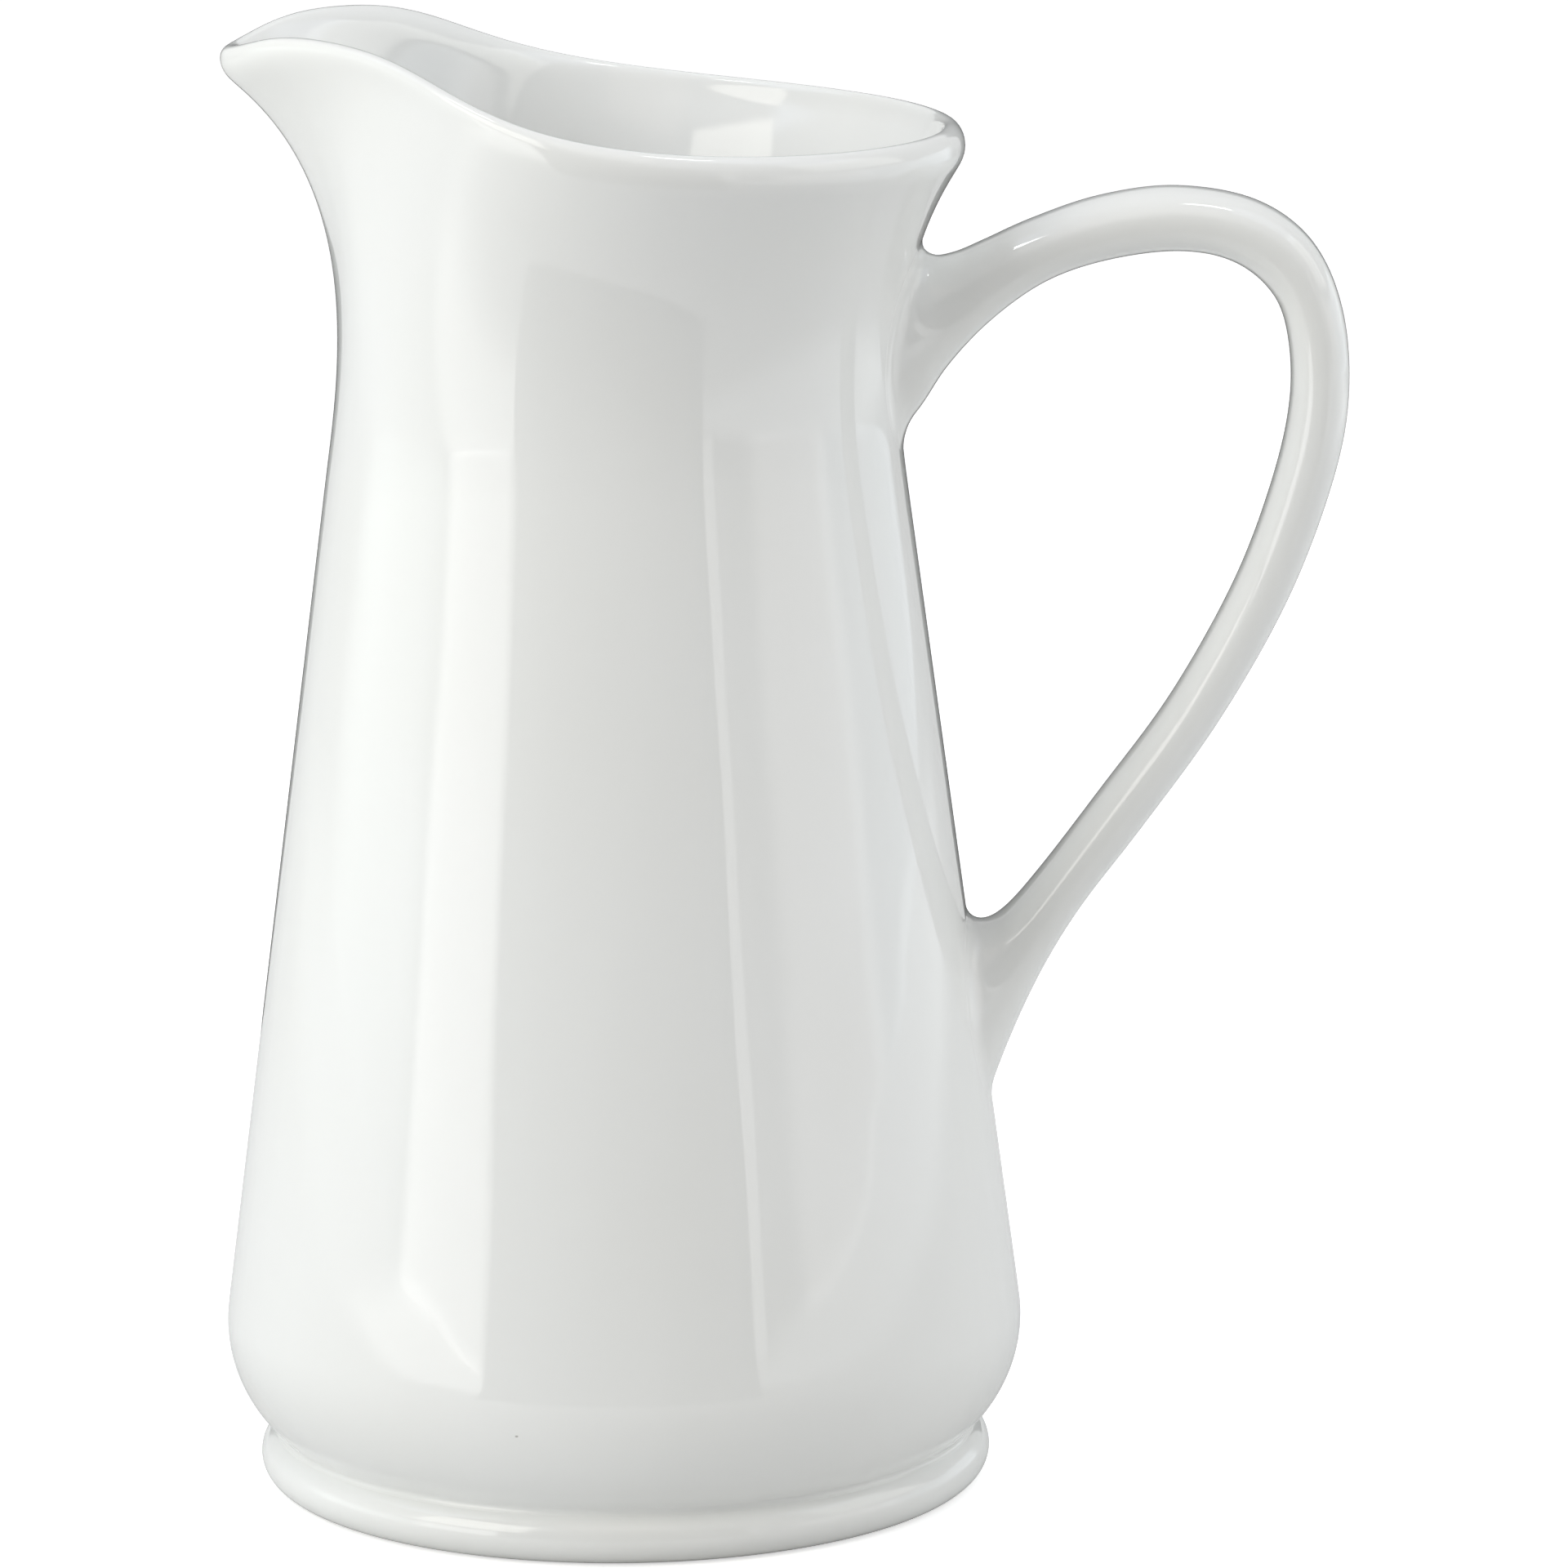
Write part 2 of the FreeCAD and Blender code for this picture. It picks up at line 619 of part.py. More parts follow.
def handle_pieces(doc, size):
    """The clay strap, its glaze and the two slip joints."""
    finished = whole_handle(size, 0.0)
    clay = whole_handle(size, size["glaze_thickness"])
    upper_box = cut_box(HANDLE_STATIONS[UPPER_CUT_STATION], Vector(-1, 0, 0))
    lower_box = cut_box(HANDLE_STATIONS[LOWER_CUT_STATION], Vector(-1, 0, -1))
    strap = clay.cut(upper_box).cut(lower_box)
    coat = finished.cut(upper_box).cut(lower_box).cut(strap)
    upper = finished.common(upper_box).cut(rim_envelope(size))
    lower = finished.common(lower_box).cut(body_envelope(size))
    return [make_feature(doc, "handle", largest(strap)),
            make_feature(doc, "handle_glaze", largest(coat)),
            make_feature(doc, "upper_handle_joint", largest(upper)),
            make_feature(doc, "lower_handle_joint", largest(lower))]


def largest(shape):
    """The largest solid of a cut, which leaves crumbs behind."""
    return max(shape.Solids, key=lambda solid: solid.Volume)


# --------------------------------------------------------------------- build
def check(doc, pieces):
    """Stop if any object failed or any sub-part is not one valid solid."""
    for item in doc.Objects:
        if "Invalid" in item.State or "Error" in item.State:
            raise RuntimeError(f"{item.Name} failed: {item.State}")
    for piece in pieces:
        shape = piece.Shape
        if shape.isNull() or not shape.isValid() or len(shape.Solids) != 1:
            raise RuntimeError(f"{piece.Label} has no single valid solid")


def main():
    """Build every sub-part and write one STEP file for each."""
    doc = FreeCAD.newDocument("pitcher")
    sheet = fill_sheet(doc)
    size = {name: float(getattr(sheet, name)) for name in SIZES}
    pieces = [foot_ring(doc, size), vessel_body(doc, size), outside_glaze(doc, size), inside_glaze(doc, size)]
    pieces.extend(rim_pieces(doc, size))
    pieces.extend(handle_pieces(doc, size))
    doc.recompute()
    check(doc, pieces)
    os.makedirs("parts", exist_ok=True)
    for piece in pieces:
        piece.Shape.exportStep(f"parts/{piece.Label}.step")
        box = piece.Shape.BoundBox
        print(f"{piece.Label}: {piece.Shape.Volume:.0f} mm3, x {box.XMin:.1f} to {box.XMax:.1f}, "
              f"y {box.YMin:.1f} to {box.YMax:.1f}, z {box.ZMin:.1f} to {box.ZMax:.1f}")


main()
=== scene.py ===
"""A white glazed ceramic pitcher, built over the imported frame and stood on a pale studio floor.

Sizes are in millimetres and become metres as each ring is placed. A turn is the angle round the vessel away
from the spout, in degrees: 0 at the spout, which points along -X, and 180 at the handle, along +X.
"""

import logging
from collections.abc import Sequence
from dataclasses import dataclass, field
from enum import Enum
from math import acos, atan2, copysign, cos, degrees, exp, hypot, pi, radians, sin, sqrt, tan

import bmesh
import bpy
from mathutils import Matrix, Vector
from mathutils.bvhtree import BVHTree


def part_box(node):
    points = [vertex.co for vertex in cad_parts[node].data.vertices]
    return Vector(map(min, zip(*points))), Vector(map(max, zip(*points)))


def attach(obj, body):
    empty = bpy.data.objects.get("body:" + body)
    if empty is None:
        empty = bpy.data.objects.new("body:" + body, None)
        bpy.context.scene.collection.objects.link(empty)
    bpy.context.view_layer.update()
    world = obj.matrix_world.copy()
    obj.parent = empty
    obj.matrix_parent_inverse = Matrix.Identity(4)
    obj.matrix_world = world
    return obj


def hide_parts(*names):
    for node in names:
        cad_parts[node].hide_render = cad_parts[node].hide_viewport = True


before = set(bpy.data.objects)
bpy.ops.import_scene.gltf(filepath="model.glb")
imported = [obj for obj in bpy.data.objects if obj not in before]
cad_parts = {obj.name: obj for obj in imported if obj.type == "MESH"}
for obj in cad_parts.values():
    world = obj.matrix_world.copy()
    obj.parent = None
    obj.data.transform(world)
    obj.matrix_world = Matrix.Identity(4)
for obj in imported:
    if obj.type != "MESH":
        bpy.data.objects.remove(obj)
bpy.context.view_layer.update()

log = logging.getLogger("pitcher")

MM = 0.001
BODY = "root"
WALL_DISTANCE = 1.3
TABLE_LIGHT_HEIGHT = 0.004
SKYWARD = 500.0

Point = tuple[float, float]
Place = tuple[float, float, float]
Colour = tuple[float, float, float]

NOISE_RANGE: Point = (0.3, 0.7)
WHOLE: Point = (0.0, 1.0)


class Slot(Enum):
    """The record's material slot names, which match the finishes that the pieces wear."""

    GLAZE = "white_glaze"
    CLAY = "bare_clay"


def smooth_share(value: float) -> float:
    """Turns 0..1 into an eased 0..1 that starts and ends level.

    Args:
        value: The share, which is kept between 0 and 1.

    Returns:
        The eased share.
    """
    held = min(max(value, 0.0), 1.0)
    return held * held * (3.0 - 2.0 * held)


def bezier(points: Sequence[Point], share: float) -> Point:
    """Finds a point on a cubic curve.

    Args:
        points: The curve's start, its two pulls and its end.
        share: How far along the curve, from 0 to 1.

    Returns:
        The point as radius and height.
    """
    rest = 1.0 - share
    weights = (rest**3, 3 * rest * rest * share, 3 * rest * share * share, share**3)
    radius = sum(w * p[0] for w, p in zip(weights, points))
    height = sum(w * p[1] for w, p in zip(weights, points))
    return radius, height


def run(points: Sequence[Point], count: int) -> list[Point]:
    """Walks a cubic curve in even steps, leaving out its start.

    Args:
        points: The curve's start, its two pulls and its end.
        count: How many points to return.

    Returns:
        The points, the last one at the curve's end.
    """
    return [bezier(points, step / count) for step in range(1, count + 1)]


def polar(centre: Point, reach: float, angle: float) -> Point:
    """The point at a distance from a centre, at an angle in degrees above the outward direction."""
    return centre[0] + reach * cos(radians(angle)), centre[1] + reach * sin(radians(angle))


def arc(centre: Point, radius: float, start: float, end: float, count: int) -> list[Point]:
    """Walks a circular arc, both ends included.

    Args:
        centre: The arc's centre as radius and height.
        radius: The arc's own radius.
        start: The first angle in degrees above the outward direction.
        end: The last angle in degrees.
        count: How many steps the arc has.

    Returns:
        The arc's points.
    """
    angles = [start + (end - start) * step / count for step in range(count + 1)]
    return [polar(centre, radius, angle) for angle in angles]


def circle_touching(first: Point, first_reach: float, second: Point, second_reach: float) -> Point:
    """Finds the outer point that lies at two given distances from two centres.

    Args:
        first: The lower centre.
        first_reach: The distance from it.
        second: The upper centre.
        second_reach: The distance from it.

    Returns:
        The meeting point that lies further out.
    """
    across, up = second[0] - first[0], second[1] - first[1]
    apart = hypot(across, up)
    along = (apart**2 + first_reach**2 - second_reach**2) / (2 * apart)
    aside = sqrt(first_reach**2 - along**2)
    foot = (first[0] + along * across / apart, first[1] + along * up / apart)
    return foot[0] + aside * up / apart, foot[1] - aside * across / apart


def angle_from(centre: Point, point: Point) -> float:
    """The angle in degrees, above the outward direction, at which a centre sees a point."""
    return degrees(atan2(point[1] - centre[1], point[0] - centre[0]))


def deselect_all() -> None:
    """Leaves object mode with nothing selected, so that an operator reaches only the new piece."""
    if bpy.context.object and bpy.context.object.mode != "OBJECT":
        bpy.ops.object.mode_set(mode="OBJECT")
    bpy.ops.object.select_all(action="DESELECT")


class Shell:
    """A skin pulled out of one circle, ring after ring, in edit mode."""

    def __init__(self, name: str, ring: Sequence[Vector]) -> None:
        """Adds the circle and sets it on its first ring.

        Args:
            name: The piece's name.
            ring: The first ring's points, in metres.
        """
        deselect_all()
        size = (ring[0] - ring[len(ring) // 2]).length / 2
        bpy.ops.mesh.primitive_circle_add(vertices=len(ring), radius=size, location=(0, 0, 0))
        self.piece = bpy.context.object
        self.piece.name = name
        self.piece.data.name = name
        bpy.ops.object.mode_set(mode="EDIT")
        bpy.ops.mesh.select_all(action="SELECT")
        mesh = bmesh.from_edit_mesh(self.piece.data)
        self.places = {vertex.co.to_tuple(): vertex.index for vertex in mesh.verts}
        self.move_ring(ring)

    def move_ring(self, ring: Sequence[Vector]) -> None:
        """Moves the selected ring's points to their new places.

        Args:
            ring: The new places, in the order of the first circle.
        """
        mesh = bmesh.from_edit_mesh(self.piece.data)
        chosen = [vertex for vertex in mesh.verts if vertex.select]
        order = [self.places[vertex.co.to_tuple()] for vertex in chosen]
        for vertex, place in zip(chosen, order):
            vertex.co = ring[place]
        self.places = {vertex.co.to_tuple(): place for vertex, place in zip(chosen, order)}
        bmesh.update_edit_mesh(self.piece.data)

    def pull(self, ring: Sequence[Vector]) -> None:
        """Extrudes the last ring and sets the new one in its place."""
        bpy.ops.mesh.extrude_region_move()
        self.move_ring(ring)

    def pull_all(self, rings: Sequence[Sequence[Vector]]) -> None:
        """Pulls the skin through every ring after its first."""
        for ring in rings[1:]:
            self.pull(ring)

    def cap(self) -> None:
        """Fills the last ring with one face."""
        bpy.ops.mesh.edge_face_add()

    def pole(self) -> None:
        """Draws the last ring together in its middle."""
        bpy.ops.mesh.extrude_region_move()
        bpy.ops.mesh.merge(type="CENTER")

    def join_ends(self) -> None:
        """Bridges the last ring to the first, so that the skin closes on itself."""
        bpy.ops.mesh.select_all(action="DESELECT")
        mesh = bmesh.from_edit_mesh(self.piece.data)
        for edge in mesh.edges:
            edge.select = edge.is_boundary
        bmesh.update_edit_mesh(self.piece.data)
        bpy.ops.mesh.bridge_edge_loops()

    def finish(self) -> bpy.types.Object:
        """Turns the faces outwards, rounds the skin and shades it smooth.

        Returns:
            The finished piece.
        """
        bpy.ops.mesh.select_all(action="SELECT")
        bpy.ops.mesh.normals_make_consistent(inside=False)
        bpy.ops.object.mode_set(mode="OBJECT")
        rounding = self.piece.modifiers.new("rounding", "SUBSURF")
        rounding.levels = rounding.render_levels = 1
        bpy.ops.object.modifier_apply(modifier=rounding.name)
        bpy.ops.object.shade_smooth()
        return self.piece


@dataclass
class RimSizes:
    """The pouring rim: its plan, its sweep up to the spout and its rounded lip."""

    plan_radius: float = 52.15
    spout_reach: float = 14.5
    spout_width: float = 24.3
    spout_sharpness: float = 1.13
    tip_roundness: float = 2.5
    pinch_depth: float = 7.5
    pinch_width: float = 68.7
    pinch_sharpness: float = 4.5
    back_height: float = 213.9
    rise: float = 16.8
    rise_place: float = 0.322
    rise_sharpness: float = 2.72
    tip_droop: float = 3.4
    tip_droop_width: float = 12.5
    lip_depth: float = 5.6
    lip_thickness: float = 4.7
    overhang_back: float = 1.85
    overhang_spout: float = -0.3
    throat_back: float = 51.8
    throat_side: float = 45.9
    groove: float = 8.5
    groove_width: float = 30.0
    low_pull_back: float = 32.0
    low_pull_spout: float = 13.5
    high_pull_back: float = 3.6
    high_pull_spout: float = 17.2
    lip_pull_back: float = 2.7
    lip_pull_spout: float = 3.4
    crown_pull_back: float = 1.7
    crown_pull_spout: float = 2.3
    crown_inner_pull: float = 1.4
    crown_set_in: float = 0.4
    flare_steps: int = 26
    lip_steps: int = 7


@dataclass
class VesselSizes:
    """The thrown shape below the rim: foot, belly and tapering wall."""

    bead_radius: float = 3.8
    neck_arc: float = 4.4
    crease_fillet: float = 0.7
    belly_centre: Point = (41.0, 25.2)
    belly_arc: float = 21.8
    taper: float = 7.55
    neck_height: float = 160.0
    wall: float = 4.0
    underside: float = 3.2
    recess_radius: float = 49.5
    underside_radii: Sequence[float] = (4.0, 20.0, 40.0, 47.9, 50.0)
    corner_radius: float = 50.5
    corner_depth: float = 2.4
    crease_tuck: float = 0.12
    crease_tuck_angle: float = 7.0
    crease_steps: int = 6
    belly_steps: int = 18
    floor_radii: Sequence[float] = (30.0, 16.0, 4.0)
    floor_steps: int = 16
    ring_points: int = 128
    cone_steps: int = 16
    rim: RimSizes = field(default_factory=RimSizes)


class Vessel:
    """The glazed vessel: one closed skin over the outside, the lip and the inside."""

    NODES = ("vessel_body", "pouring_rim", "outside_glaze", "inside_glaze", "rim_glaze")

    def __init__(self, sizes: VesselSizes) -> None:
        """Keeps the sizes and reads the foot's from the frame.

        Args:
            sizes: The vessel's driving sizes.
        """
        self.sizes = sizes
        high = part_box("foot_ring")[1]
        self.foot_radius = high[0] / MM
        self.foot_height = high[2] / MM
        self.bead_centre = (self.foot_radius - sizes.bead_radius, sizes.bead_radius)
        self.neck_centre = (self.foot_radius - sizes.neck_arc, sizes.bead_radius)

    def wall_radius(self, belly: float, height: float) -> float:
        """Finds the radius of the tapering wall.

        Args:
            belly: The belly arc that the wall runs on from.
            height: The height above the floor.

        Returns:
            The wall's radius there.
        """
        sizes = self.sizes
        tilt = radians(sizes.taper)
        start = sizes.belly_centre[1] + belly * sin(tilt)
        return sizes.belly_centre[0] + belly * cos(tilt) - (height - start) * tan(tilt)

    def spout_share(self, turn: float) -> float:
        """How much of the spout's form the rim has at a turn.

        Args:
            turn: The angle away from the spout.

        Returns:
            The share, from 0 at the back to 1 at the spout.
        """
        rim = self.sizes.rim
        place = (1 - cos(radians(turn))) / 2
        return 1 / (1 + (place / rim.rise_place) ** rim.rise_sharpness)

    def rim_edge(self, turn: float) -> tuple[float, float]:
        """Finds the rim's plan radius and its height.

        Args:
            turn: The angle away from the spout.

        Returns:
            The radius and height of the crown of the lip.
        """
        rim = self.sizes.rim
        soft = hypot(turn, rim.tip_roundness) - rim.tip_roundness
        spout = rim.spout_reach * exp(-((soft / rim.spout_width) ** rim.spout_sharpness))
        pinch = rim.pinch_depth * exp(-((turn / rim.pinch_width) ** rim.pinch_sharpness))
        droop = rim.tip_droop * exp(-((turn / rim.tip_droop_width) ** 2))
        height = rim.back_height + rim.rise * self.spout_share(turn) - droop
        return rim.plan_radius + spout - pinch, height

    def rim_outline(self, turn: float) -> list[Point]:
        """Draws the flare, the lip and the throat inside it, from the neck up and back down.

        Args:
            turn: The angle away from the spout.

        Returns:
            The outline's points after the outer neck, down to the inner neck.
        """
        sizes, rim = self.sizes, self.sizes.rim
        share = self.spout_share(turn)

        def between(back: float, spout: float) -> float:
            """A size that changes from the back of the rim to the spout."""
            return back + share * (spout - back)

        radius, height = self.rim_edge(turn)
        edge = (radius + between(rim.overhang_back, rim.overhang_spout), height - rim.lip_depth)
        low_pull = between(rim.low_pull_back, rim.low_pull_spout)
        high_pull = between(rim.high_pull_back, rim.high_pull_spout)
        lip_pull = between(rim.lip_pull_back, rim.lip_pull_spout)
        crown_pull = between(rim.crown_pull_back, rim.crown_pull_spout)
        groove = rim.groove * exp(-((turn / rim.groove_width) ** 2))
        throat = between(rim.throat_back, rim.throat_side - groove)
        slope = (edge[0] - throat) / high_pull
        unit = hypot(1, slope)
        thick = rim.lip_thickness
        inner_edge = (edge[0] - thick / unit, edge[1] + thick * slope / unit)
        crown = (radius - rim.crown_set_in * share, height)
        taper = tan(radians(sizes.taper))
        outer_neck = (self.wall_radius(sizes.belly_arc, sizes.neck_height), sizes.neck_height)
        inner_neck = (
            self.wall_radius(sizes.belly_arc - sizes.wall, sizes.neck_height),
            sizes.neck_height,
        )

        def above(neck: Point) -> Point:
            """The pull that carries the wall's taper on above the neck."""
            return neck[0] - taper * low_pull, neck[1] + low_pull

        def below(lip: Point) -> Point:
            """The pull that leads the flare into the lip."""
            return lip[0] - slope * high_pull, lip[1] - high_pull

        def past(lip: Point) -> Point:
            """The pull that carries the flare on into the lip's round."""
            return lip[0] + slope * lip_pull / unit, lip[1] + lip_pull / unit

        outline = run((outer_neck, above(outer_neck), below(edge), edge), rim.flare_steps)
        outer_crown = (crown[0] + crown_pull, crown[1])
        outline += run((edge, past(edge), outer_crown, crown), rim.lip_steps)
        inner_crown = (crown[0] - rim.crown_inner_pull, crown[1])
        outline += run((crown, inner_crown, past(inner_edge), inner_edge), rim.lip_steps)
        outline += run((inner_edge, below(inner_edge), above(inner_neck), inner_neck), rim.flare_steps)
        return outline

    def crease(self) -> list[Point]:
        """Draws the foot of the skin: out over the foot's shoulder, and through the soft crease.

        Returns:
            The points, from inside the shoulder up to the belly's arc.
        """
        sizes = self.sizes
        fillet = sizes.crease_fillet
        centre = circle_touching(
            self.neck_centre, sizes.neck_arc + fillet, sizes.belly_centre, sizes.belly_arc + fillet
        )
        low = angle_from(centre, self.neck_centre)
        high = angle_from(centre, sizes.belly_centre)
        if high > low:
            high -= 360
        on_foot = angle_from(self.neck_centre, centre) - sizes.crease_tuck_angle
        tuck = polar(self.neck_centre, sizes.neck_arc - sizes.crease_tuck, on_foot)
        return [tuck] + arc(centre, fillet, low, high, sizes.crease_steps)

    def outline(self, turn: float) -> list[Point]:
        """Draws the whole skin at a turn, from under the foot, over the lip and down to the floor.

        Args:
            turn: The angle away from the spout.

        Returns:
            The outline as radius and height.
        """
        sizes = self.sizes
        centre = sizes.belly_centre
        belly, inner = sizes.belly_arc, sizes.belly_arc - sizes.wall
        crease = self.crease()
        points = [(radius, sizes.underside) for radius in sizes.underside_radii]
        points.append((sizes.corner_radius, self.foot_height - sizes.corner_depth))
        points += crease[:-1]
        start = angle_from(centre, crease[-1])
        points += arc(centre, belly, start, sizes.taper, sizes.belly_steps)
        low = points[-1][1]
        rise = sizes.neck_height - low
        for step in range(1, sizes.cone_steps + 1):
            height = low + rise * step / sizes.cone_steps
            points.append((self.wall_radius(belly, height), height))
        points += self.rim_outline(turn)
        low = centre[1] + inner * sin(radians(sizes.taper))
        for step in range(sizes.cone_steps - 1, 0, -1):
            height = low + (sizes.neck_height - low) * step / sizes.cone_steps
            points.append((self.wall_radius(inner, height), height))
        points += arc(centre, inner, sizes.taper, -90, sizes.floor_steps)
        floor = points[-1][1]
        points += [(radius, floor) for radius in sizes.floor_radii]
        return points

    def build(self) -> bpy.types.Object:
        """Pulls the skin up ring by ring and closes both its poles.

        Returns:
            The finished vessel.
        """
        count = self.sizes.ring_points
        step = 360 / count
        turns = [min(step * place, 360 - step * place) for place in range(count)]
        outlines = {turn: self.outline(turn) for turn in set(turns)}
        rings = []
        for level in range(len(outlines[0.0])):
            ring = []
            for place, turn in enumerate(turns):
                radius, height = outlines[turn][level]
                around = radians(step * place)
                ring.append(Vector((-radius * cos(around), radius * sin(around), height)) * MM)
            rings.append(ring)
        shell = Shell("glazed_vessel", rings[0])
        shell.cap()
        shell.pull_all(rings)
        shell.pole()
        return shell.finish()


@dataclass
class HandleStation:
    """One cross-section of the strap: the places of its outer and inner faces, and its width."""

    outer: Point
    inner: Point
    width: float


@dataclass
class HandleSizes:
    """The pulled strap handle."""

    half_width: float = 8.0
    oval: float = 2.3
    section_points: int = 32
    rings: int = 96
    steps_between: int = 8
    fillet_rings: int = 7
    crotch_fillet: float = 3.0
    heel_fillet: float = 9.0
    side_fillet: float = 4.5
    longest_fillet: float = 9.0
    fillet_bow: float = 0.62
    approach: float = 1.5
    search_step: float = 0.05
    skirt_reach: float = 1.2
    skirt_sink: float = 0.08
    skirt_depth: float = 1.5
    stations: Sequence[HandleStation] = (
        HandleStation((40.0, 195.6), (40.0, 163.0), 1.70),
        HandleStation((48.0, 193.9), (46.6, 169.4), 1.32),
        HandleStation((52.5, 194.3), (51.6, 176.8), 1.14),
        HandleStation((57.6, 196.4), (58.2, 183.8), 1.06),
        HandleStation((64.6, 199.5), (66.6, 189.8), 1.03),
        HandleStation((75.0, 203.0), (76.0, 193.1), 1.02),
        HandleStation((87.0, 204.5), (87.0, 194.5), 1.02),
        HandleStation((99.5, 202.2), (95.5, 192.9), 1.02),
        HandleStation((108.3, 195.6), (101.5, 188.2), 1.02),
        HandleStation((113.0, 184.5), (104.2, 181.6), 1.01),
        HandleStation((113.8, 170.5), (104.7, 171.2), 1.00),
        HandleStation((110.9, 156.4), (102.1, 158.6), 1.00),
        HandleStation((104.2, 138.9), (96.1, 142.2), 0.98),
        HandleStation((93.7, 120.2), (86.3, 124.3), 0.97),
        HandleStation((82.0, 103.8), (75.3, 109.2), 0.97),
        HandleStation((72.6, 91.4), (65.8, 96.6), 0.99),
        HandleStation((66.6, 81.6), (59.9, 90.0), 1.06),
        HandleStation((61.6, 71.0), (55.8, 88.4), 1.25),
        HandleStation((57.0, 59.0), (50.0, 89.0), 1.60),
    )


def spline(values: Sequence[Vector], steps: int) -> list[Vector]:
    """Threads a smooth curve through points.

    Args:
        values: The points to pass through.
        steps: How many steps each span gets.

    Returns:
        The points on the curve, both ends included.
    """
    count = len(values)
    curve = []
    for span in range(count - 1):
        start, end = values[span], values[span + 1]
        before = values[span - 1] if span else 2 * start - end
        after = values[span + 2] if span + 2 < count else 2 * end - start
        for step in range(steps):
            share = step / steps
            leave, arrive = (end - before) / 2, (after - start) / 2
            cube, square = share**3, share**2
            curve.append(
                (2 * cube - 3 * square + 1) * start
                + (cube - 2 * square + share) * leave
                + (3 * square - 2 * cube) * end
                + (cube - square) * arrive
            )
    curve.append(values[-1])
    return curve


@dataclass
class Landing:
    """Where one line along the strap meets the wall: how far along it, the place and the wall's normal."""

    along: float
    place: Vector
    normal: Vector


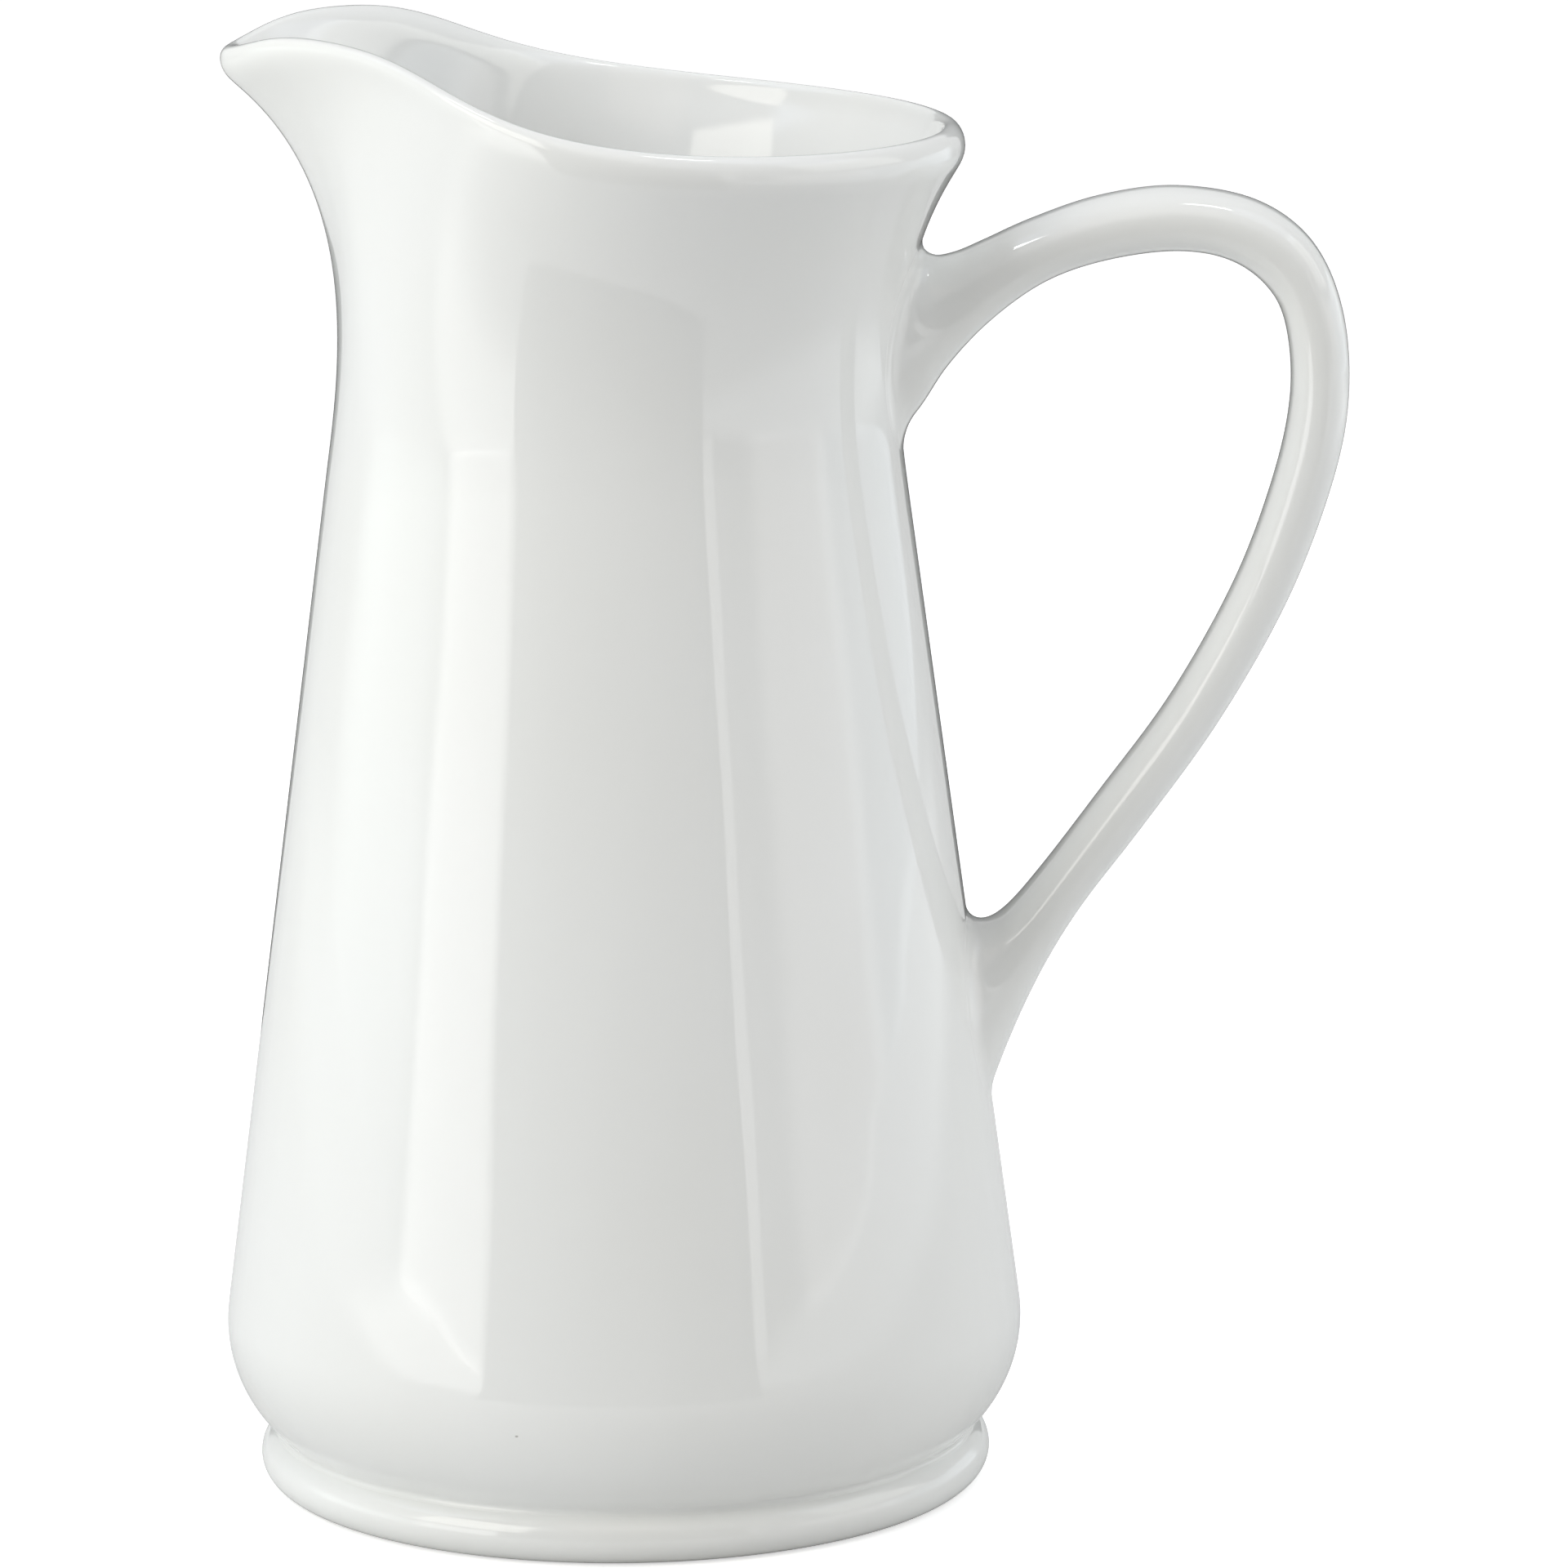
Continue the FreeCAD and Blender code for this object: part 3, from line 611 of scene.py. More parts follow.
class Handle:
    """The glazed strap, its two ends spread over the wall in soft fillets."""

    NODES = ("handle", "handle_glaze", "upper_handle_joint", "lower_handle_joint")

    def __init__(self, sizes: HandleSizes, vessel: bpy.types.Object) -> None:
        """Keeps the sizes and the wall that the strap lands on.

        Args:
            sizes: The strap's driving sizes.
            vessel: The finished vessel.
        """
        self.sizes = sizes
        depsgraph = bpy.context.evaluated_depsgraph_get()
        self.wall = BVHTree.FromObject(vessel, depsgraph)

    def rails(self) -> list[list[Vector]]:
        """Draws the lines that run along the strap, one for each point of its section.

        Returns:
            One list of points for each line, in metres.
        """
        sizes = self.sizes
        lines = []
        for place in range(sizes.section_points):
            angle = 2 * pi * place / sizes.section_points
            across = self.squared_up(cos(angle))
            aside = self.squared_up(sin(angle))
            points = []
            for station in sizes.stations:
                outer = Vector((station.outer[0], 0, station.outer[1]))
                inner = Vector((station.inner[0], 0, station.inner[1]))
                half = Vector((0, sizes.half_width * station.width, 0))
                points.append(((outer + inner) / 2 + across * (outer - inner) / 2 + aside * half) * MM)
            lines.append(spline(points, sizes.steps_between))
        return lines

    def squared_up(self, side: float) -> float:
        """Pushes a circle's coordinate out, so that the section is a full oval."""
        return copysign(abs(side) ** (2 / self.sizes.oval), side)

    def landing(self, line: Sequence[Vector], from_end: bool) -> Landing:
        """Follows a line from the strap's middle to where it enters the wall.

        Args:
            line: The line's points.
            from_end: True for the lower end, which is the line's last part.

        Returns:
            The place where it lands.
        """
        middle = len(line) // 2
        places = range(middle, len(line) - 1) if from_end else range(middle, 0, -1)
        step = 1 if from_end else -1
        for place in places:
            here, there = line[place], line[place + step]
            hit, normal, _, distance = self.wall.ray_cast(here, there - here, (there - here).length)
            if hit:
                share = distance / (there - here).length
                return Landing(place + step * share, hit, normal)
        raise ValueError("a line of the handle never reaches the wall")

    @staticmethod
    def at(line: Sequence[Vector], along: float) -> Vector:
        """A point part of the way between two of a line's points."""
        place = min(int(along), len(line) - 2)
        return line[place].lerp(line[place + 1], along - place)

    def fillet(
        self, line: Sequence[Vector], landing: Landing, middle: Vector, toward: int, radius: float
    ) -> tuple[float, list[Vector]]:
        """Rounds the corner between a line of the strap and the wall.

        Args:
            line: The line's points.
            landing: Where it meets the wall.
            middle: The middle of the ring of landings.
            toward: 1 where the landing is at the line's last end, -1 at its first.
            radius: The fillet's radius in millimetres.

        Returns:
            How far along the line the fillet leaves it, and the fillet's points, the last one on the wall.
        """
        sizes, normal, corner = self.sizes, landing.normal, landing.place
        away = corner - middle
        away = (away - away.dot(normal) * normal).normalized()
        back = (self.at(line, landing.along - sizes.approach * toward) - corner).normalized()
        opening = acos(min(max(back.dot(away), -1.0), 1.0))
        reach = min(radius * MM / tan(opening / 2), sizes.longest_fillet * MM)
        along = landing.along
        while (self.at(line, along) - corner).length < reach:
            along -= sizes.search_step * toward
        start = self.at(line, along)
        end = self.wall.find_nearest(corner + away * reach)[0]
        pulls = start.lerp(corner, sizes.fillet_bow), end.lerp(corner, sizes.fillet_bow)
        points = []
        for step in range(1, sizes.fillet_rings + 1):
            share = step / sizes.fillet_rings
            rest = 1 - share
            near_start = rest**3 * start + 3 * rest * rest * share * pulls[0]
            points.append(near_start + 3 * rest * share * share * pulls[1] + share**3 * end)
        beyond, inward, _, _ = self.wall.find_nearest(end + away * sizes.skirt_reach * MM)
        points.append(beyond - inward * sizes.skirt_sink * MM)
        points.append(beyond - inward * sizes.skirt_depth * MM)
        return along, points

    def end_rings(
        self, lines: Sequence[Sequence[Vector]], toward: int
    ) -> tuple[list[float], list[list[Vector]]]:
        """Makes the fillet rings of one end.

        Args:
            lines: The lines along the strap.
            toward: 1 for the lower end, -1 for the upper one.

        Returns:
            How far along each line its fillet begins, and the rings from there into the wall.
        """
        sizes = self.sizes
        landings = [self.landing(line, toward > 0) for line in lines]
        middle = sum((landing.place for landing in landings), Vector()) / len(landings)
        starts, columns = [], []
        for place, (line, landing) in enumerate(zip(lines, landings)):
            outer = cos(2 * pi * place / len(lines))
            crotch = smooth_share(-outer * toward)
            heel = smooth_share(outer * toward)
            radius = sizes.side_fillet
            radius += crotch * (sizes.crotch_fillet - radius) + heel * (sizes.heel_fillet - radius)
            start, points = self.fillet(line, landing, middle, toward, radius)
            starts.append(start)
            columns.append(points)
        rings = [list(ring) for ring in zip(*columns)]
        return starts, rings

    def build(self) -> bpy.types.Object:
        """Pulls the strap from its upper fillet to its lower one.

        Returns:
            The finished handle.
        """
        lines = self.rails()
        upper, upper_rings = self.end_rings(lines, -1)
        lower, lower_rings = self.end_rings(lines, 1)
        rings = list(reversed(upper_rings))
        for step in range(self.sizes.rings + 1):
            share = step / self.sizes.rings
            ring = []
            for line, first, last in zip(lines, upper, lower):
                ring.append(self.at(line, first + share * (last - first)))
            rings.append(ring)
        rings += lower_rings
        shell = Shell("strap_handle", rings[0])
        shell.cap()
        shell.pull_all(rings)
        shell.cap()
        return shell.finish()


@dataclass
class FootSizes:
    """The foot ring's section and the bare tread's.

    The points of the inner side are given from the recess's wall and those of the tread from its own edges,
    and all of them up from the floor.
    """

    lift: float = 0.22
    bead_steps: int = 9
    shoulder_end: float = 92.0
    shoulder_steps: int = 10
    inner_top: Point = (1.6, 0.6)
    inner_side: Sequence[Point] = (
        (0.9, 5.2),
        (-0.9, 3.45),
        (-0.55, 2.95),
        (0.05, 2.3),
        (0.15, 1.4),
        (0.4, 0.7),
        (0.95, 0.28),
        (1.6, 0.22),
    )
    tread_inset: float = 1.3
    tread_reach: float = 0.9
    tread_inner_edge: Sequence[Point] = ((0.0, 0.5), (0.0, 0.16), (0.35, 0.02), (0.8, 0.0))
    tread_outer_edge: Sequence[Point] = ((0.9, 0.0), (0.35, 0.02), (0.0, 0.16), (0.0, 0.5))


class Foot:
    """The glazed foot ring that the vessel stands on."""

    NODES = ("foot_ring",)

    def __init__(self, vessel: Vessel) -> None:
        """Keeps the vessel, whose foot sizes it shares."""
        self.vessel = vessel

    def outline(self) -> list[Point]:
        """Draws the ring's section, from the tread out over the bead and down the recess's wall.

        Returns:
            The section as radius and height.
        """
        vessel, sizes, foot = self.vessel, self.vessel.sizes, FootSizes()
        bead = arc(vessel.bead_centre, sizes.bead_radius, -90, 0, foot.bead_steps)
        bead = [(radius, max(height, foot.lift)) for radius, height in bead]
        shoulder = arc(vessel.neck_centre, sizes.neck_arc, 0, foot.shoulder_end, foot.shoulder_steps)[1:]
        top_in, top_down = foot.inner_top
        inner = [(sizes.recess_radius + top_in, vessel.foot_height - top_down)]
        inner += [(sizes.recess_radius + offset, height) for offset, height in foot.inner_side]
        return bead + shoulder + inner

    def build(self) -> bpy.types.Object:
        """Pulls the ring's section round and closes it.

        Returns:
            The finished foot.
        """
        outline = self.outline()
        count = self.vessel.sizes.ring_points
        rings = [round_ring(radius, height, count) for radius, height in outline]
        shell = Shell("foot_bead", rings[0])
        shell.pull_all(rings)
        shell.join_ends()
        return shell.finish()


def round_ring(radius: float, height: float, count: int) -> list[Vector]:
    """Makes a round ring of points.

    Args:
        radius: The ring's radius in millimetres.
        height: Its height in millimetres.
        count: How many points it has.

    Returns:
        The points in metres.
    """
    angles = [2 * pi * place / count for place in range(count)]
    return [Vector((-radius * cos(a), radius * sin(a), height)) * MM for a in angles]


class Tread:
    """The bare clay ring under the foot, wiped clean of glaze."""

    def __init__(self, vessel: Vessel) -> None:
        """Keeps the vessel, whose foot sizes it shares."""
        self.vessel = vessel

    def build(self) -> bpy.types.Object:
        """Makes the flat ring with softened edges.

        Returns:
            The finished tread.
        """
        foot = FootSizes()
        inner = self.vessel.sizes.recess_radius + foot.tread_inset
        outer = self.vessel.bead_centre[0] + foot.tread_reach
        outline = [(inner + offset, height) for offset, height in foot.tread_inner_edge]
        outline += [(outer - offset, height) for offset, height in foot.tread_outer_edge]
        count = self.vessel.sizes.ring_points
        rings = [round_ring(radius, height, count) for radius, height in outline]
        shell = Shell("bare_tread", rings[0])
        shell.pull_all(rings)
        shell.join_ends()
        return shell.finish()


class Material:
    """A procedural finish under construction."""

    def __init__(self, name: str) -> None:
        """Starts a finish with its shader and its object coordinates.

        Args:
            name: The finish's name.
        """
        self.material = bpy.data.materials.new(name)
        self.material.use_nodes = True
        self.nodes = self.material.node_tree.nodes
        self.links = self.material.node_tree.links
        self.shader = self.nodes["Principled BSDF"]
        self.coordinates = self.nodes.new("ShaderNodeTexCoord").outputs["Object"]

    def noise(self, scale: float, detail: float, drawn: float = 1.0) -> bpy.types.NodeSocket:
        """Adds an even noise over the piece.

        Args:
            scale: The noise's grain, per metre.
            detail: How many finer layers it has.
            drawn: How many times longer the grain is upright than across.

        Returns:
            The noise's value.
        """
        node = self.nodes.new("ShaderNodeTexNoise")
        node.inputs["Scale"].default_value = scale
        node.inputs["Detail"].default_value = detail
        mapping = self.nodes.new("ShaderNodeMapping")
        mapping.inputs["Scale"].default_value = (1.0, 1.0, 1.0 / drawn)
        self.links.new(self.coordinates, mapping.inputs["Vector"])
        self.links.new(mapping.outputs["Vector"], node.inputs["Vector"])
        return node.outputs["Fac"]

    def span(
        self, value: bpy.types.NodeSocket, source: Point, target: Point, smooth: bool = True
    ) -> bpy.types.NodeSocket:
        """Stretches one range of a value over another.

        Args:
            value: The value to stretch.
            source: The range it is read in.
            target: The range it is given.
            smooth: True to ease both ends.

        Returns:
            The stretched value.
        """
        node = self.nodes.new("ShaderNodeMapRange")
        node.interpolation_type = "SMOOTHSTEP" if smooth else "LINEAR"
        node.inputs["From Min"].default_value, node.inputs["From Max"].default_value = source
        node.inputs["To Min"].default_value, node.inputs["To Max"].default_value = target
        self.links.new(value, node.inputs["Value"])
        return node.outputs["Result"]

    def blend(
        self, share: bpy.types.NodeSocket, first: "Colour | bpy.types.NodeSocket", second: Colour
    ) -> bpy.types.NodeSocket:
        """Mixes two colours.

        Args:
            share: How much of the second colour shows.
            first: A colour, or another colour socket.
            second: The other colour.

        Returns:
            The mixed colour.
        """
        node = self.nodes.new("ShaderNodeMix")
        node.data_type = "RGBA"
        self.links.new(share, node.inputs["Factor"])
        colours = [socket for socket in node.inputs if socket.type == "RGBA"]
        for socket, colour in zip(colours, (first, second)):
            if isinstance(colour, bpy.types.NodeSocket):
                self.links.new(colour, socket)
            else:
                socket.default_value = (*colour, 1.0)
        return next(socket for socket in node.outputs if socket.type == "RGBA")

    def bump(
        self,
        height: bpy.types.NodeSocket,
        strength: float,
        distance: float,
        under: bpy.types.NodeSocket | None = None,
    ) -> bpy.types.NodeSocket:
        """Raises the surface's shading by a value.

        Args:
            height: The value.
            strength: How much of it shows.
            distance: How high it stands, in metres.
            under: Another bump that this one lies on.

        Returns:
            The bent normal.
        """
        node = self.nodes.new("ShaderNodeBump")
        node.inputs["Strength"].default_value = strength
        node.inputs["Distance"].default_value = distance
        self.links.new(height, node.inputs["Height"])
        if under:
            self.links.new(under, node.inputs["Normal"])
        return node.outputs["Normal"]

    def wear(self, piece: bpy.types.Object) -> None:
        """Puts the finish on a piece in place of any other."""
        piece.data.materials.clear()
        piece.data.materials.append(self.material)


@dataclass(frozen=True)
class GlazeFinish:
    """The clear-white glossy glaze, with its faint tone changes, waves, upright runs and pinholes.

    A grain is a pattern's fineness per metre, and a height is in metres.
    """

    name: str = "white_glaze"
    colour: Colour = (0.85, 0.862, 0.856)
    warm: Colour = (0.84, 0.85, 0.838)
    cloud_grain: float = 14.0
    cloud_range: Point = (0.35, 0.65)
    speck: Colour = (0.30, 0.29, 0.27)
    speck_grain: float = 420.0
    speck_range: Point = (0.835, 0.86)
    speck_depth: float = 0.7
    gloss: float = 0.025
    gloss_spread: Point = (0.8, 1.3)
    gloss_grain: float = 30.0
    ior: float = 1.52
    wave_grain: float = 22.0
    wave_strength: float = 0.4
    wave_height: float = 0.0006
    run_grain: float = 60.0
    run_drawn: float = 9.0
    run_strength: float = 0.55
    run_height: float = 0.0006
    ripple_grain: float = 260.0
    ripple_strength: float = 0.02
    ripple_height: float = 0.0002

    def make(self) -> Material:
        """Builds the finish.

        Returns:
            The finish.
        """
        finish = Material(self.name)
        cloud = finish.span(finish.noise(self.cloud_grain, 2.0), self.cloud_range, WHOLE)
        tone = finish.blend(cloud, self.colour, self.warm)
        speck = finish.span(finish.noise(self.speck_grain, 1.0), self.speck_range, (0.0, self.speck_depth))
        tone = finish.blend(speck, tone, self.speck)
        finish.links.new(tone, finish.shader.inputs["Base Color"])
        low, high = self.gloss * self.gloss_spread[0], self.gloss * self.gloss_spread[1]
        rough = finish.span(finish.noise(self.gloss_grain, 3.0), NOISE_RANGE, (low, high))
        finish.links.new(rough, finish.shader.inputs["Roughness"])
        finish.shader.inputs["IOR"].default_value = self.ior
        waves = finish.bump(finish.noise(self.wave_grain, 1.0), self.wave_strength, self.wave_height)
        runs = finish.noise(self.run_grain, 1.0, self.run_drawn)
        runs = finish.bump(runs, self.run_strength, self.run_height, waves)
        ripples = finish.noise(self.ripple_grain, 2.0)
        ripples = finish.bump(ripples, self.ripple_strength, self.ripple_height, runs)
        finish.links.new(ripples, finish.shader.inputs["Normal"])
        return finish


@dataclass(frozen=True)
class ClayFinish:
    """The matt fired clay of the tread."""

    name: str = "bare_clay"
    colour: Colour = (0.72, 0.70, 0.66)
    shade: Colour = (0.60, 0.57, 0.52)
    shade_grain: float = 380.0
    roughness: float = 0.9
    grit_grain: float = 1400.0
    grit_strength: float = 0.5
    grit_height: float = 0.0002

    def make(self) -> Material:
        """Builds the finish.

        Returns:
            The finish.
        """
        finish = Material(self.name)
        patches = finish.span(finish.noise(self.shade_grain, 4.0), NOISE_RANGE, WHOLE)
        tone = finish.blend(patches, self.colour, self.shade)
        finish.links.new(tone, finish.shader.inputs["Base Color"])
        finish.shader.inputs["Roughness"].default_value = self.roughness
        grit = finish.bump(finish.noise(self.grit_grain, 3.0), self.grit_strength, self.grit_height)
        finish.links.new(grit, finish.shader.inputs["Normal"])
        return finish


@dataclass(frozen=True)
class FloorFinish:
    """The pale matt floor, which the camera sees a little brighter than the pitcher does."""

    name: str = "pale_floor"
    tone: float = 0.72
    cloud_tint: Colour = (0.99, 0.99, 0.985)
    cloud_grain: float = 6.0
    roughness: float = 0.8
    sheen: float = 0.1
    lift: float = 0.6

    def make(self) -> Material:
        """Builds the finish.

        Returns:
            The finish.
        """
        finish = Material(self.name)
        cloud = finish.span(finish.noise(self.cloud_grain, 2.0), NOISE_RANGE, WHOLE)
        red, green, blue = (self.tone * tint for tint in self.cloud_tint)
        colour = finish.blend(cloud, (self.tone, self.tone, self.tone), (red, green, blue))
        finish.links.new(colour, finish.shader.inputs["Base Color"])
        finish.shader.inputs["Roughness"].default_value = self.roughness
        finish.shader.inputs["Specular IOR Level"].default_value = self.sheen
        finish.shader.inputs["Emission Color"].default_value = (1, 1, 1, 1)
        seen = finish.nodes.new("ShaderNodeLightPath").outputs["Is Camera Ray"]
        lift = finish.span(seen, WHOLE, (0.0, self.lift), smooth=False)
        finish.links.new(lift, finish.shader.inputs["Emission Strength"])
        return finish


@dataclass(frozen=True)
class ClothFinish:
    """The dark cloth of the cards and mats, which throws nothing back."""

    name: str = "dark_cloth"
    colour: Colour = (0.01, 0.01, 0.01)

    def make(self) -> Material:
        """Builds the finish.

        Returns:
            The finish.
        """
        finish = Material(self.name)
        finish.shader.inputs["Base Color"].default_value = (*self.colour, 1.0)
        finish.shader.inputs["Roughness"].default_value = 1.0
        finish.shader.inputs["Specular IOR Level"].default_value = 0.0
        return finish


@dataclass(frozen=True)
class Softbox:
    """A soft rectangular light that faces the pitcher.

    The bearing is in degrees from the camera's side, negative towards the spout.
    """

    name: str
    bearing: float
    height: float
    distance: float
    width: float
    tall: float
    radiance: float
    colour: Colour = (1.0, 1.0, 1.0)
    aim_height: float = 0.1
    edge: float = 0.15
    gloss_only: bool = False

    @classmethod
    def wall(
        cls,
        name: str,
        bearings: Point,
        heights: Point,
        radiance: float,
        colour: Colour,
        edge: float = 0.2,
    ) -> "Softbox":
        """An upright light that fills a stretch of the room's wall.

        Args:
            name: The light's name.
            bearings: Its two sides, in degrees.
            heights: Its bottom and top, in metres.
            radiance: How bright it is.
            colour: Its colour.
            edge: How much of its width fades out.

        Returns:
            The light.
        """
        half = radians(bearings[1] - bearings[0]) / 2
        middle = (heights[0] + heights[1]) / 2
        return cls(
            name=name,
            bearing=(bearings[0] + bearings[1]) / 2,
            height=middle,
            distance=WALL_DISTANCE,
            width=2 * WALL_DISTANCE * tan(half),
            tall=heights[1] - heights[0],
            radiance=radiance,
            colour=colour,
            aim_height=middle,
            edge=edge,
        )

    @classmethod
    def table(
        cls,
        name: str,
        bearing: float,
        near: float,
        far: float,
        half_bearing: float,
        radiance: float,
        colour: Colour,
    ) -> "Softbox":
        """A light that lies flat on the floor, for the sheen that a bright table throws up.

        Args:
            name: The light's name.
            bearing: The direction it lies in, in degrees.
            near: Its near side's distance, in metres.
            far: Its far side's distance.
            half_bearing: Half of the angle that it covers where it meets the wall, in degrees.
            radiance: How bright it is.
            colour: Its colour.

        Returns:
            The light.
        """
        return cls(
            name=name,
            bearing=bearing,
            height=TABLE_LIGHT_HEIGHT,
            distance=(near + far) / 2,
            width=2 * WALL_DISTANCE * tan(radians(half_bearing)),
            tall=far - near,
            radiance=radiance,
            colour=colour,
            aim_height=SKYWARD,
            edge=0.2,
            gloss_only=True,
        )

    def place(self) -> bpy.types.Object:
        """Hangs the light and turns it to the pitcher.

        Returns:
            The light.
        """
        light = bpy.data.lights.new(self.name, "AREA")
        light.shape = "RECTANGLE"
        light.size = self.width
        light.size_y = self.tall
        light.energy = self.radiance * pi * self.width * self.tall
        light.color = self.colour
        hung = bpy.data.objects.new(self.name, light)
        bpy.context.scene.collection.objects.link(hung)
        bearing = radians(self.bearing)
        spot = Vector((self.distance * sin(bearing), -self.distance * cos(bearing), self.height))
        hung.location = spot
        aim = Vector((0, 0, self.aim_height)) - spot
        hung.rotation_euler = aim.to_track_quat("-Z", "Y").to_euler()
        hung.visible_camera = False
        hung.visible_diffuse = not self.gloss_only
        self.soften(light)
        return hung

    def soften(self, light: bpy.types.Light) -> None:
        """Lets the light fade towards its edges, as a diffuser's cloth does.

        Args:
            light: The light to soften.
        """
        light.use_nodes = True
        nodes, links = light.node_tree.nodes, light.node_tree.links
        emission = nodes["Emission"]
        split = nodes.new("ShaderNodeSeparateXYZ")
        links.new(nodes.new("ShaderNodeTexCoord").outputs["UV"], split.inputs[0])
        fades = []
        for axis in ("X", "Y"):
            middle = nodes.new("ShaderNodeMath")
            middle.operation = "SUBTRACT"
            middle.inputs[1].default_value = 0.5
            links.new(split.outputs[axis], middle.inputs[0])
            off = nodes.new("ShaderNodeMath")
            off.operation = "ABSOLUTE"
            links.new(middle.outputs[0], off.inputs[0])
            fade = nodes.new("ShaderNodeMapRange")
            fade.interpolation_type = "SMOOTHSTEP"
            fade.inputs["From Min"].default_value = 0.5
            fade.inputs["From Max"].default_value = 0.5 - self.edge
            links.new(off.outputs[0], fade.inputs["Value"])
            fades.append(fade.outputs["Result"])
        product = nodes.new("ShaderNodeMath")
        product.operation = "MULTIPLY"
        links.new(fades[0], product.inputs[0])
        links.new(fades[1], product.inputs[1])
        links.new(product.outputs[0], emission.inputs["Strength"])


@dataclass
class Studio:
    """The pale floor, the soft lights and the camera."""

    floor_side: float = 9.0
    sky: float = 0.56
    backdrop: float = 1.0
    lights: Sequence[Softbox] = (
        Softbox.wall("spout_key_low", (-68.0, -37.0), (-0.08, 0.42), 2.4, (1.0, 1.0, 0.98), 0.16),
        Softbox.wall("spout_side_low", (-120.0, -58.0), (-0.08, 0.42), 1.2, (0.91, 1.0, 0.98), 0.3),
        Softbox.wall("spout_key_high", (-72.0, -28.0), (0.42, 1.4), 3.2, (1.0, 0.98, 0.91), 0.1),
        Softbox.wall("spout_side_high", (-112.0, -68.0), (0.42, 1.4), 0.24, (0.98, 1.0, 0.9), 0.1),
        Softbox.wall("handle_front_low", (50.0, 96.0), (-0.08, 0.42), 1.1, (1.0, 0.97, 0.95), 0.2),
        Softbox.wall("handle_back_low", (84.0, 146.0), (-0.08, 0.42), 0.8, (0.84, 0.93, 1.0), 0.15),
        Softbox.wall("handle_high", (66.0, 112.0), (0.42, 1.4), 1.35, (0.99, 1.0, 0.93), 0.1),
        Softbox.wall("front_strip", (37.0, 41.5), (-0.08, 0.42), 1.1, (1.0, 1.0, 1.0), 0.15),
        Softbox.table("key_table", -52.5, 0.42, 1.42, 15.5, 1.3, (1.0, 1.0, 0.98)),
        Softbox.table("spout_table", -76.0, 0.42, 1.42, 40.0, 0.25, (0.95, 1.0, 0.98)),
        Softbox.table("handle_table", 84.0, 0.42, 1.42, 36.0, 0.7, (0.95, 0.98, 1.0)),
        Softbox("ceiling_spout", -90.0, 1.4, 0.9, 1.0, 1.0, 1.2, (0.72, 0.82, 1.0)),
        Softbox("ceiling_handle", 90.0, 1.4, 0.9, 1.0, 1.0, 0.85, (0.76, 0.83, 1.0)),
        Softbox("ceiling_front", 0.0, 1.4, 0.9, 1.0, 1.0, 0.44, (1.0, 0.86, 0.74)),
        Softbox("glint_spout", -62.0, 1.2, 0.50, 0.26, 0.10, 14.0, (1.0, 1.0, 1.0), 0.2),
        Softbox("glint_handle", 90.0, 1.2, 0.30, 0.12, 0.24, 12.0, (1.0, 1.0, 1.0), 0.2),
    )
    card_distance: float = 1.75
    card_spread: Point = (-38.5, 37.5)
    card_height: float = 1.2
    mat_start: float = 0.27
    mat_height: float = 0.006
    back_mat_start: float = 0.3
    back_near_half_width: float = 0.12
    back_half_width: float = 0.74
    back_height: float = 0.7
    camera_place: Place = (0.0258, -1.3649, 0.3896)
    camera_pitch: float = 11.556
    camera_roll: float = -0.350
    camera_lens: float = 204.2

    def build(self) -> None:
        """Lays the floor, hangs the lights and sets the camera up."""
        self.lay_floor()
        self.stand_cards()
        self.set_sky()
        for light in self.lights:
            light.place()
        self.set_camera()
        bpy.context.scene.view_settings.view_transform = "Standard"

    def lay_floor(self) -> None:
        """Lays the pale floor under the tread."""
        deselect_all()
        bpy.ops.mesh.primitive_plane_add(size=self.floor_side, location=(0, 0, 0))
        floor = bpy.context.object
        floor.name = "floor"
        FloorFinish().make().wear(floor)

    def stand_cards(self) -> None:
        """Sets up the dark cards and mats that the glaze mirrors.

        The front of the glaze mirrors the front card and mat as one grey band, and its sides mirror the back
        ones as a thin grey edge. Only the gloss sees the mats and the back card.
        """
        left, right = (tan(radians(bearing)) for bearing in self.card_spread)
        far, near, low = self.card_distance, self.mat_start, self.mat_height
        wide, slim, start = self.back_half_width, self.back_near_half_width, self.back_mat_start
        front = self.card("front_card", (left * far, right * far), -far, self.card_height)
        front_mat = self.sheet(
            "front_mat",
            (
                (left * far, -far, low),
                (right * far, -far, low),
                (right * near, -near, low),
                (left * near, -near, low),
            ),
        )
        back = self.card("back_card", (-wide, wide), far, self.back_height)
        back_mat = self.sheet(
            "back_mat",
            ((-slim, start, low), (slim, start, low), (wide, far, low), (-wide, far, low)),
        )
        cloth = ClothFinish().make()
        for sheet in (front, front_mat, back, back_mat):
            cloth.wear(sheet)
        for sheet in (front_mat, back, back_mat):
            sheet.visible_diffuse = False
            sheet.visible_shadow = False

    def card(self, name: str, sides: Point, depth: float, height: float) -> bpy.types.Object:
        """Stands an upright card on the floor.

        Args:
            name: The card's name.
            sides: Where its left and right sides stand, in metres.
            depth: How far behind the pitcher it stands, negative for in front.
            height: Its height.

        Returns:
            The card.
        """
        left, right = sides
        top = ((right, depth, height), (left, depth, height))
        return self.sheet(name, ((left, depth, 0), (right, depth, 0), *top))

